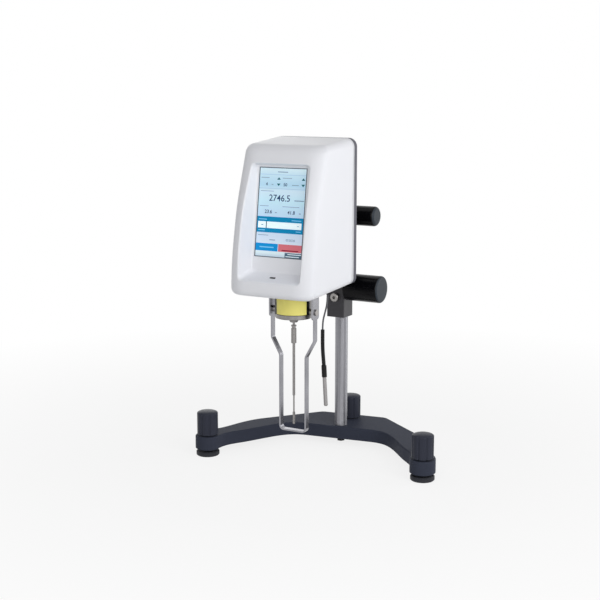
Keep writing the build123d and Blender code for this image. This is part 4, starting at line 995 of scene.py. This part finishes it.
    def make(self) -> None:
        """Loft the shell through its lines, fill its top and underside, and give it its wall."""
        build = bmesh.new()
        lines = [self.row_points(z, inset) for z, inset in self.rows()]
        grid = [[build.verts.new((SPINDLE + p) * MM) for p in line] for line in lines]
        for low, high in zip(grid, grid[1:]):
            for i in range(len(low) - 1):
                build.faces.new((low[i], low[i + 1], high[i + 1], high[i]))
        build.faces.new(grid[-1])
        loop = [build.edges.get((a, b)) for a, b in zip(grid[0], grid[0][1:])]
        loop.append(build.edges.new((grid[0][0], grid[0][-1])))
        loop += self.hole(build, 0.0, 0.0, self.cylinder_hole, 96)
        loop += self.hole(build, *self.gland_place, self.gland_hole, 32)
        filled = bmesh.ops.triangle_fill(build, use_beauty=True, use_dissolve=False, edges=loop)
        for face in (f for f in filled["geom"] if isinstance(f, bmesh.types.BMFace)):
            face.normal_update()
            if face.normal.z > 0:
                face.normal_flip()
        build.normal_update()
        mesh = bpy.data.meshes.new("head_front_shell")
        build.to_mesh(mesh)
        build.free()
        mesh = smooth(mesh, 40.0)
        shell = make_piece("head_front_shell", mesh, SHELL_WHITE, "carriage", "shell_white", "front_shell")
        thick = shell.modifiers.new("wall", "SOLIDIFY")
        thick.thickness = self.wall * MM
        thick.offset = -1.0


@dataclass
class Display:
    """The display: a lit page in its opening, with figures, arrows, a slider and buttons."""

    half_width: float = 32.95
    half_height: float = 53.85
    ahead: float = 31.6
    middle_z: float = 325.3
    lean: float = 7.7
    step: float = 0.4
    thickness: float = 1.6
    ink_depth: float = 0.04
    ink_root: float = 0.02
    arrow_half: float = 2.5
    arrow_tip: float = 1.5
    figure_share: float = 0.7
    figure_bold: float = 0.1
    # painted shade: a black plate laid in the slot under the display stands in for the shade inside the slot
    slot_shade_z: float = 249.0
    slot_shade_half: float = 3.9
    slot_shade_radius: float = 0.9
    slot_shade_front: float = 51.0
    slot_shade_depth: float = 2.0
    slot_shade_steps: int = 16

    def __post_init__(self) -> None:
        """Work out the page's own axes."""
        lean = math.radians(self.lean)
        along = Vector((0, math.sin(lean), math.cos(lean)))
        out = Vector((0, -math.cos(lean), math.sin(lean)))
        centre = SPINDLE + Vector((0, -self.ahead, self.middle_z)) - out * self.step
        self.place = shift(*centre) @ turn_to(Vector((1, 0, 0)), along, out)

    def at(self, across: float, down: float) -> Pair:
        """Point of the page in millimetres, from shares across it and down it."""
        return ((2 * across - 1) * self.half_width, (1 - 2 * down) * self.half_height)

    def slab(self, name: str, outline: list[Pair], low: float, high: float, finish: Finish) -> Mesh:
        """Make a flat prism on the page.

        Args:
            name: The mesh's name.
            outline: Its corners, in millimetres, counterclockwise.
            low: Its underside, from the page's surface.
            high: Its upper side.
            finish: Its finish.

        Returns:
            The mesh, in the page's own axes.
        """
        n = len(outline)
        points = [Vector((x, y, low)) for x, y in outline] + [Vector((x, y, high)) for x, y in outline]
        faces = [tuple(range(n - 1, -1, -1)), tuple(range(n, 2 * n))]
        faces += [(i, (i + 1) % n, n + (i + 1) % n, n + i) for i in range(n)]
        mesh = mesh_of(name, points, faces)
        mesh.materials.append(finish.material())
        return mesh

    def bar(self, box: tuple[float, float, float, float], ink: str, layer: int = 1) -> Mesh:
        """Make a rectangle of ink.

        Args:
            box: Its left, top, right and bottom, as shares of the page.
            ink: Its ink's name.
            layer: 1 on the page, and one more for each ink that it lies on.

        Returns:
            The mesh, in the page's own axes.
        """
        x0, y0 = self.at(box[0], box[3])
        x1, y1 = self.at(box[2], box[1])
        low = self.ink_depth * (layer - 1)
        corners = [(x0, y0), (x1, y0), (x1, y1), (x0, y1)]
        return self.slab("bar", corners, low - self.ink_root, low + self.ink_depth, INK[ink])

    def arrow(self, across: float, down: float, up: bool) -> Mesh:
        """Make a small triangle.

        Args:
            across: Its middle, as a share of the page's width.
            down: Its middle, as a share of the page's height.
            up: Whether it points up.

        Returns:
            The mesh, in the page's own axes.
        """
        x, y = self.at(across, down)
        tip = self.arrow_tip if up else -self.arrow_tip
        corners = [(x - self.arrow_half, y - tip), (x + self.arrow_half, y - tip), (x, y + tip)]
        if not up:
            corners.reverse()
        return self.slab("arrow", corners, -self.ink_root, self.ink_depth, INK["teal"])

    def figures(self, text: str, across: float, down: float, height: float, ink: str) -> Mesh:
        """Make a number.

        Args:
            text: Its figures.
            across: Its middle, as a share of the page's width.
            down: Its middle, as a share of the page's height.
            height: The height of a figure, in millimetres.
            ink: Its ink's name.

        Returns:
            The mesh, in the page's own axes.
        """
        curve = bpy.data.curves.new("figures", "FONT")
        curve.body = text
        curve.size = height / self.figure_share * MM
        curve.align_x = "CENTER"
        curve.align_y = "CENTER"
        curve.resolution_u = 3
        curve.extrude = self.ink_depth / 2 * MM
        curve.offset = self.figure_bold * MM
        carrier = bpy.data.objects.new("figures", curve)
        bpy.context.scene.collection.objects.link(carrier)
        mesh = bpy.data.meshes.new_from_object(carrier.evaluated_get(bpy.context.evaluated_depsgraph_get()))
        bpy.data.objects.remove(carrier)
        mesh.transform(shift(*self.at(across, down), self.ink_depth / 2))
        mesh.materials.clear()
        mesh.materials.append(INK[ink].material())
        return mesh

    def marks(self) -> list[Mesh]:
        """Draw everything on the page, from its frame and its rules down to its foot.

        Returns:
            The marks, in the page's own axes.
        """
        bar, figures, arrow = self.bar, self.figures, self.arrow
        return [
            bar((0.0, 0.0, 0.018, 1.0), "edge", 3), bar((0.982, 0.0, 1.0, 1.0), "edge", 3),
            bar((0.018, 0.0, 0.982, 0.009), "edge", 3), bar((0.018, 0.991, 0.982, 1.0), "edge", 3),
            bar((0.0, 0.078, 1.0, 0.083), "rule"), bar((0.0, 0.232, 1.0, 0.238), "rule"),
            bar((0.39, 0.045, 0.60, 0.055), "caption"),
            bar((0.05, 0.113, 0.22, 0.120), "caption"), bar((0.50, 0.113, 0.69, 0.120), "caption"),
            arrow(0.42, 0.122, True), arrow(0.93, 0.122, True),
            arrow(0.42, 0.192, False), arrow(0.93, 0.192, False),
            figures("4", 0.17, 0.190, 3.6, "dark"), bar((0.27, 0.187, 0.31, 0.195), "caption"),
            figures("50", 0.56, 0.190, 3.6, "dark"), bar((0.70, 0.187, 0.84, 0.195), "caption"),
            bar((0.05, 0.262, 0.33, 0.268), "caption"),
            figures("2746.5", 0.46, 0.342, 7.6, "dark"), bar((0.77, 0.354, 0.97, 0.366), "caption"),
            bar((0.05, 0.428, 0.24, 0.434), "caption"), bar((0.53, 0.428, 0.88, 0.434), "caption"),
            figures("23.6", 0.24, 0.495, 4.2, "dark"), bar((0.38, 0.495, 0.42, 0.505), "caption"),
            figures("41.8", 0.72, 0.495, 4.2, "dark"), bar((0.88, 0.495, 0.92, 0.505), "caption"),
            bar((0.0, 0.548, 1.0, 0.725), "band"),
            bar((0.05, 0.574, 0.22, 0.584), "sky", 2), bar((0.74, 0.574, 0.94, 0.584), "sky", 2),
            bar((0.04, 0.604, 0.95, 0.676), "white", 2), bar((0.205, 0.604, 0.225, 0.676), "strip", 3),
            bar((0.11, 0.636, 0.15, 0.648), "caption", 3), bar((0.86, 0.636, 0.90, 0.644), "caption", 3),
            bar((0.05, 0.695, 0.19, 0.704), "sky", 2), bar((0.84, 0.695, 0.94, 0.704), "sky", 2),
            bar((0.05, 0.752, 0.27, 0.759), "caption"), bar((0.30, 0.800, 0.42, 0.810), "caption"),
            figures("07:35:20", 0.74, 0.800, 2.6, "caption"),
            bar((0.0, 0.846, 0.485, 0.930), "button"), bar((0.495, 0.846, 1.0, 0.930), "red"),
            bar((0.10, 0.882, 0.40, 0.895), "sky", 2), bar((0.57, 0.908, 0.92, 0.920), "rose", 2),
            bar((0.64, 0.938, 1.0, 1.0), "strip"), bar((0.70, 0.950, 0.98, 0.957), "white", 2),
            bar((0.66, 0.975, 0.94, 0.982), "white", 2),
        ]

    def make(self) -> None:
        """Make the page and the marks on it."""
        w, h = self.half_width, self.half_height
        page = self.slab("display_page", [(-w, -h), (w, -h), (w, h), (-w, h)], -self.thickness, 0.0, PAGE)
        page.transform(self.place)
        make_piece("display_page", page, PAGE, "carriage", "glass_panel", "display_glass")
        build = bmesh.new()
        joined = bpy.data.meshes.new("display_marks")
        for mesh in self.marks():
            material = mesh.materials[0]
            if material.name not in joined.materials:
                joined.materials.append(material)
            index = joined.materials.find(material.name)
            before = len(build.faces)
            build.from_mesh(mesh)
            build.faces.ensure_lookup_table()
            for face in build.faces[before:]:
                face.material_index = index
        build.to_mesh(joined)
        build.free()
        joined.transform(self.place)
        make_piece("display_marks", joined, PAGE, "carriage", "glass_panel")
        self.make_slot_shade()

    def make_slot_shade(self) -> None:
        """Set a black plate in the slot under the display, painted shade that darkens the slot."""
        straight = self.slot_shade_half - self.slot_shade_radius
        outline = []
        for side in (1, -1):
            for i in range(self.slot_shade_steps + 1):
                a = math.radians(side * 90 - 180 * i / self.slot_shade_steps)
                x = side * straight + self.slot_shade_radius * math.cos(a)
                outline.append((x, self.slot_shade_z + self.slot_shade_radius * math.sin(a)))
        count = len(outline)
        front, rear = -self.slot_shade_front, self.slot_shade_depth - self.slot_shade_front
        points = [SPINDLE + Vector((x, y, z)) for y in (front, rear) for x, z in outline]
        faces = [tuple(range(count)), tuple(range(2 * count - 1, count - 1, -1))]
        faces += [(i, count + i, count + (i + 1) % count, (i + 1) % count) for i in range(count)]
        mesh = mesh_of("slot_shade_plate", points, faces)
        check = bmesh.new()
        check.from_mesh(mesh)
        bmesh.ops.recalc_face_normals(check, faces=check.faces)
        check.to_mesh(mesh)
        check.free()
        make_piece("slot_shade_plate", mesh, SOCKET_BLACK, "carriage", "foam_black")


@dataclass
class LevellingFoot:
    """One levelling foot: a fluted knob and a threaded stud."""

    side: str
    place: Pair
    knob_z: float = 28.2
    knob_height: float = 30.9
    knob_radius: float = 13.5
    crown: float = 4.0
    crown_power: float = 3.0
    flutes: int = 8
    flute_depth: float = 0.9
    flute_from: float = 0.62
    flute_to: float = 0.98
    stud_radius: float = 3.95
    thread_depth: float = 0.55
    pitch: float = 1.25
    plain_end: float = 1.0

    def make_knob(self) -> None:
        """Sweep a ring up the knob, draw it in over the crown and press the flutes into it."""
        form = FormTree(f"{self.side}_knob_form")
        radius = form.length("Radius", self.knob_radius)
        height = form.length("Height", self.knob_height)
        crown = form.length("Crown", self.crown)
        depth = form.length("Flute depth", self.flute_depth)
        count = form.size("Flutes", float(self.flutes))
        here = form.result("GeometryNodeInputPosition")
        parts = form.node("ShaderNodeSeparateXYZ", {0: here}).outputs
        shoulder = form.maths("SUBTRACT", height, crown)
        over = form.maths("DIVIDE", form.maths("SUBTRACT", parts[2], shoulder), crown)
        over = form.maths("MINIMUM", form.maths("MAXIMUM", over, 0.0), 1.0)
        drawn_in = form.maths("SUBTRACT", NEARLY_CLOSED, form.maths("POWER", over, self.crown_power))
        end = form.result("ShaderNodeCombineXYZ", {2: height})
        line = form.result("GeometryNodeCurvePrimitiveLine", {"End": end})
        path = form.result("GeometryNodeResampleCurve", {"Curve": line, "Count": 160})
        plain = form.sweep(path, form.ring(144, radius), Scale=form.maths("SQRT", drawn_in))
        wave = form.maths("COSINE", form.maths("MULTIPLY", form.maths("ARCTAN2", parts[1], parts[0]), count))
        feeds = {"Value": wave, "From Min": self.flute_from, "From Max": self.flute_to}
        dip = form.result("ShaderNodeMapRange", feeds, interpolation_type="SMOOTHERSTEP")
        faded = form.maths("MULTIPLY", dip, form.maths("SUBTRACT", 1.0, over))
        inward = form.maths("MULTIPLY", faded, form.maths("DIVIDE", depth, radius))
        inward = form.maths("MULTIPLY", inward, -1.0)
        level = form.result("ShaderNodeCombineXYZ", {0: parts[0], 1: parts[1]})
        press = form.result("ShaderNodeVectorMath", {0: level, "Scale": inward}, operation="SCALE")
        fluted = form.result("GeometryNodeSetPosition", {"Geometry": plain, "Offset": press})
        mesh = smooth(form.grow(fluted, FOOT_PLASTIC))
        mesh.transform(shift(*self.place, self.knob_z))
        name, body, node = f"{self.side}_levelling_knob", f"{self.side}_foot", f"{self.side}_foot_knob"
        make_piece(name, mesh, FOOT_PLASTIC, body, "slate_plastic", node)

    def make_stud(self) -> None:
        """Wind the thread round the stud's core."""
        low, high = (corner.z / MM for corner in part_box(f"{self.side}_foot_stud"))
        form = FormTree(f"{self.side}_stud_form")
        radius = form.length("Core radius", self.stud_radius - self.thread_depth)
        length = form.length("Length", high - low)
        ridge = form.length("Ridge", self.thread_depth)
        turns = form.size("Turns", (high - low - 2 * self.plain_end) / self.pitch)
        margin = form.length("End", self.plain_end)
        core = form.raised(form.rod(48, radius, length), form.maths("DIVIDE", length, 2.0))
        wound = form.maths("SUBTRACT", length, form.maths("MULTIPLY", margin, 2.0))
        thread = form.sweep(form.coil(36, turns, radius, radius, wound), form.ring(4, ridge))
        both = form.result("GeometryNodeJoinGeometry", {0: [core, form.raised(thread, margin)]})
        mesh = smooth(form.grow(both, ZINC), 50.0)
        mesh.transform(shift(*self.place, low))
        name, body, node = f"{self.side}_levelling_stud", f"{self.side}_foot", f"{self.side}_foot_stud"
        make_piece(name, mesh, ZINC, body, "zinc_screw", node)

    def make(self) -> None:
        """Make the foot's two turning pieces."""
        self.make_knob()
        self.make_stud()


@dataclass
class ScrewSet:
    """Screws of one size at several places, all along one axis."""

    name: str
    node: str
    places: tuple[Pair, ...]
    behind: float
    head_radius: float
    head_height: float
    shank_radius: float
    shank_length: float
    socket_radius: float
    socket_depth: float
    faces_rear: bool = True
    socket_sides: int = 6
    rim_share: float = 0.12

    def make(self) -> None:
        """Instance one screw on the places and set it on its plane."""
        form = FormTree(self.name + "_form")
        head_radius = form.length("Head radius", self.head_radius)
        head_height = form.length("Head height", self.head_height)
        shank_radius = form.length("Shank radius", self.shank_radius)
        shank_length = form.length("Shank length", self.shank_length)
        socket_radius = form.length("Socket radius", self.socket_radius)
        socket_depth = form.length("Socket depth", self.socket_depth)
        low_share = 1 - self.rim_share
        low = form.cone(48, head_radius, head_radius, head_height)
        low = form.result("GeometryNodeTransform", {"Geometry": low, "Scale": (1.0, 1.0, low_share)})
        edge = form.maths("MULTIPLY", head_height, self.rim_share)
        rim = form.cone(48, head_radius, form.maths("SUBTRACT", head_radius, edge), edge)
        rim = form.raised(rim, form.maths("MULTIPLY", head_height, low_share))
        shank = form.rod(32, shank_radius, shank_length)
        shank = form.raised(shank, form.maths("MULTIPLY", shank_length, -0.5))
        socket = form.rod(self.socket_sides, socket_radius, form.maths("MULTIPLY", socket_depth, 2.0))
        socket = form.raised(socket, head_height)
        head = form.result("GeometryNodeMeshBoolean", {1: [low, rim, shank]}, operation="UNION")
        head = form.result("GeometryNodeMeshBoolean", {0: head, 1: [socket]}, operation="DIFFERENCE")
        feeds = {"Points": form.given.outputs[0], "Instance": head}
        spread = form.result("GeometryNodeInstanceOnPoints", feeds)
        mesh = smooth(form.grow(spread, ZINC, [Vector((x, z, 0.0)) for x, z in self.places]))
        facing = FACING_REAR if self.faces_rear else FACING_FRONT
        mesh.transform(shift(*(SPINDLE + Vector((0, self.behind, 0)))) @ facing)
        make_piece(self.name, mesh, ZINC, "carriage", "zinc_screw", self.node)


@dataclass
class Hairspring:
    """Flat spiral spring between the drive disc and the pivot."""

    start_radius: float = 3.45
    end_radius: float = 9.45
    turns: float = 4.5
    strip: float = 0.3
    height: float = 2.0
    low_z: float = 279.0
    post_radius: float = 0.6
    post_top: float = 286.0

    def make(self) -> None:
        """Wind the strip, with its hub and its outer post."""
        form = FormTree("hairspring_form")
        inner = form.length("Inner radius", self.start_radius)
        outer = form.length("Outer radius", self.end_radius)
        turns = form.size("Turns", self.turns)
        strip = form.length("Strip", self.strip)
        height = form.length("Height", self.height)
        section = form.result("GeometryNodeCurvePrimitiveQuadrilateral", {"Width": strip, "Height": height})
        wound = form.sweep(form.coil(48, turns, inner, outer, 0.0), section)
        both = form.result("GeometryNodeJoinGeometry", {0: [wound, form.rod(48, inner, height)]})
        mesh = smooth(form.grow(both, SPRING_COPPER))
        end = max((v.co for v in mesh.vertices), key=lambda co: co.xy.length).copy()
        share = 1 - self.post_radius * MM / end.xy.length
        rise = (self.post_top - self.low_z) * MM
        post = Matrix.Translation(Vector((end.x * share, end.y * share, (rise - self.height * MM) / 2)))
        radius = self.post_radius * MM
        build = bmesh.new()
        build.from_mesh(mesh)
        bmesh.ops.create_cone(
            build, cap_ends=True, segments=24, radius1=radius, radius2=radius, depth=rise, matrix=post
        )
        build.to_mesh(mesh)
        build.free()
        mesh.transform(shift(*(SPINDLE + Vector((0, 0, self.low_z + self.height / 2)))))
        make_piece("hairspring", mesh, SPRING_COPPER, "rotor", "spring_copper", "torsion_spring")


@dataclass
class BoardParts:
    """Small packages soldered to the circuit board."""

    half_width: float = 29.0
    low_z: float = 306.0
    high_z: float = 384.0
    behind: float = 38.9
    seed: int = 11
    density: float = 9000.0
    apart: float = 7.0
    package: Triple = (4.0, 5.0, 1.4)
    least: Triple = (0.4, 0.4, 0.6)
    most: Triple = (1.1, 1.2, 1.1)

    def make(self) -> None:
        """Scatter packages over the board's front."""
        form = FormTree("board_parts_form")
        width = form.length("Width", 2 * self.half_width)
        length = form.length("Length", self.high_z - self.low_z)
        density = form.size("Density", self.density)
        seed = form.size("Seed", self.seed, "NodeSocketInt")
        sheet = {"Size X": width, "Size Y": length, "Vertices X": 2, "Vertices Y": 2}
        spots = form.result(
            "GeometryNodeDistributePointsOnFaces",
            {
                "Mesh": form.result("GeometryNodeMeshGrid", sheet),
                "Distance Min": self.apart * MM,
                "Density Max": density,
                "Seed": seed,
            },
            distribute_method="POISSON",
        )
        package = form.result("GeometryNodeMeshCube", {"Size": tuple(s * MM for s in self.package)})
        package = form.raised(package, self.package[2] / 2 * MM)
        feeds = {0: self.least, 1: self.most, "Seed": seed}
        scale = form.result("FunctionNodeRandomValue", feeds, data_type="FLOAT_VECTOR")
        feeds = {"Points": spots, "Instance": package, "Scale": scale}
        mesh = form.grow(form.result("GeometryNodeInstanceOnPoints", feeds), CHIP_BLACK)
        centre = SPINDLE + Vector((0, self.behind, (self.low_z + self.high_z) / 2))
        mesh.transform(shift(*centre) @ FACING_FRONT)
        make_piece("board_packages", mesh, CHIP_BLACK, "carriage", "foam_black")


@dataclass
class DressedCopy:
    """A merged, smooth copy of a frame node, in place, that can take a second finish, a painted reflection,
    on its right end.
    """

    node: str
    name: str
    body: str
    slot: str
    finish: Finish
    end_painted_reflection: Finish | None = None
    end_share: float = 0.55
    end_depth: float = 5.0
    merge: float = 0.002

    def make(self) -> None:
        """Copy the node's mesh, merge it, and dress it."""
        source = frame["nodes"][self.node]
        mesh = source.data.copy()
        mesh.transform(source.matrix_world)
        mesh.materials.clear()
        mesh.materials.append(self.finish.material())
        build = bmesh.new()
        build.from_mesh(mesh)
        bmesh.ops.remove_doubles(build, verts=build.verts, dist=self.merge * MM)
        for face in build.faces:
            face.material_index = 0
        # painted reflection: faces near the right end that face right take the lighter second colour
        if self.end_painted_reflection:
            mesh.materials.append(self.end_painted_reflection.material())
            inner = max(v.co.x for v in build.verts) - self.end_depth * MM
            for face in build.faces:
                if face.normal.x > self.end_share and face.calc_center_median().x > inner:
                    face.material_index = 1
        build.to_mesh(mesh)
        build.free()
        if mesh.has_custom_normals:
            mesh.attributes.remove(mesh.attributes["custom_normal"])
        make_piece(self.name, smooth(mesh, 30.0), self.finish, self.body, self.slot, self.node)


@dataclass
class CarriedNodes:
    """Frame nodes whose shape stays, each with its finish."""

    finishes: tuple[tuple[Finish, tuple[str, ...]], ...] = (
        (BASE_PAINT, ("base_casting",)),
        (PAD_RUBBER, ("left_foot_pad", "right_foot_pad", "rear_foot_pad")),
        (COLUMN_STEEL, ("column_rod",)),
        (KNOB_BLACK, ("column_cap", "rocker_switch")),
        (COVER_GREY, ("rear_cover", "switch_bezel")),
        (BRACKET_PAINT, ("lift_bracket",)),
        (STAINLESS, ("gauge_cylinder", "pivot_cup", "spindle_coupling", "spindle", "pivot_shaft")),
        (STRAP_STEEL, ("guard_leg",)),
        (BLACK_OXIDE, ("column_bolt", "column_washer")),
        (ZINC, ("guard_studs", "lift_pinion", "pinion_shaft", "shaft_clip", "clamp_screw")),
        (ZINC, ("drive_standoffs", "shaft_bearing", "motor_shaft")),
        (SOCKET_BLACK, ("power_inlet",)),
        (MATT_STEEL, ("probe_rod",)),
        (SLEEVE_BLACK, ("probe_sleeve", "probe_ferrule", "probe_gland")),
        (BRONZE, ("guide_bushes", "pinion_bushes")),
        (ALUMINIUM, ("chassis", "motor_plate", "drive_disc", "signal_disc", "board_spacers")),
        (BOARD_GREEN, ("circuit_board",)),
        (MODULE_GREY, ("display_module",)),
        (FOAM_BLACK, ("display_gasket",)),
        (MOTOR_BLACK, ("drive_motor",)),
    )

    def make(self) -> None:
        """Give every carried node its finish."""
        for finish, names in self.finishes:
            for name in names:
                for slot in frame["nodes"][name].material_slots:
                    slot.material = finish.material()
                log.info("%s: %s", name, finish.name)


def screw_sets() -> list[ScrewSet]:
    """The three sizes of screw on the head.

    Returns:
        The screws of the rear cover, those of the bracket, and the gib's one.
    """
    covers = tuple((x, z) for x in (-49.8, 49.8) for z in (243.5, 400.5))
    mounts = tuple((x, z) for x in (-17.5, 17.5) for z in (244.5, 289.5))
    cover = ScrewSet(
        "rear_cover_screws", "cover_screws", covers, behind=57.2, head_radius=2.9, head_height=1.8,
        shank_radius=1.5, shank_length=22.2, socket_radius=1.6, socket_depth=0.9,
    )
    bracket = ScrewSet(
        "bracket_screws", "mounting_screws", mounts, behind=65.0, head_radius=4.2, head_height=5.0,
        shank_radius=2.5, shank_length=19.4, socket_radius=2.4, socket_depth=2.5,
    )
    gib = ScrewSet(
        "gib_set_screw", "gib_screw", ((0.0, 202.0),), behind=108.0, head_radius=5.5, head_height=4.0,
        shank_radius=3.0, shank_length=6.0, socket_radius=2.4, socket_depth=2.4, faces_rear=False,
    )
    return [cover, bracket, gib]


def main() -> None:
    """Build the instrument's pieces in order."""
    logging.basicConfig(level=logging.INFO, format="%(message)s")
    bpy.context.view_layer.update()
    studio = Studio()
    studio.make_camera()
    Probe().make_lead()
    studio.make()
    CarriedNodes().make()
    HeadShell().make()
    Display().make()
    DressedCopy("cylinder_band", "plain_yellow_band", "carriage", "band_yellow", BAND_YELLOW).make()
    # the lift and clamp knobs carry a painted reflection on their end faces
    DressedCopy("lift_knob", "lift_hand_knob", "lift_drive", "black_plastic", KNOB_BLACK, KNOB_END_PAINTED_REFLECTION).make()
    DressedCopy("clamp_knob", "clamp_hand_knob", "clamp", "black_plastic", KNOB_BLACK, KNOB_END_PAINTED_REFLECTION).make()
    for side, place in FOOT_PLACES.items():
        LevellingFoot(side, place).make()
    for screws in screw_sets():
        screws.make()
    Hairspring().make()
    BoardParts().make()


if __name__ == "__main__":
    main()
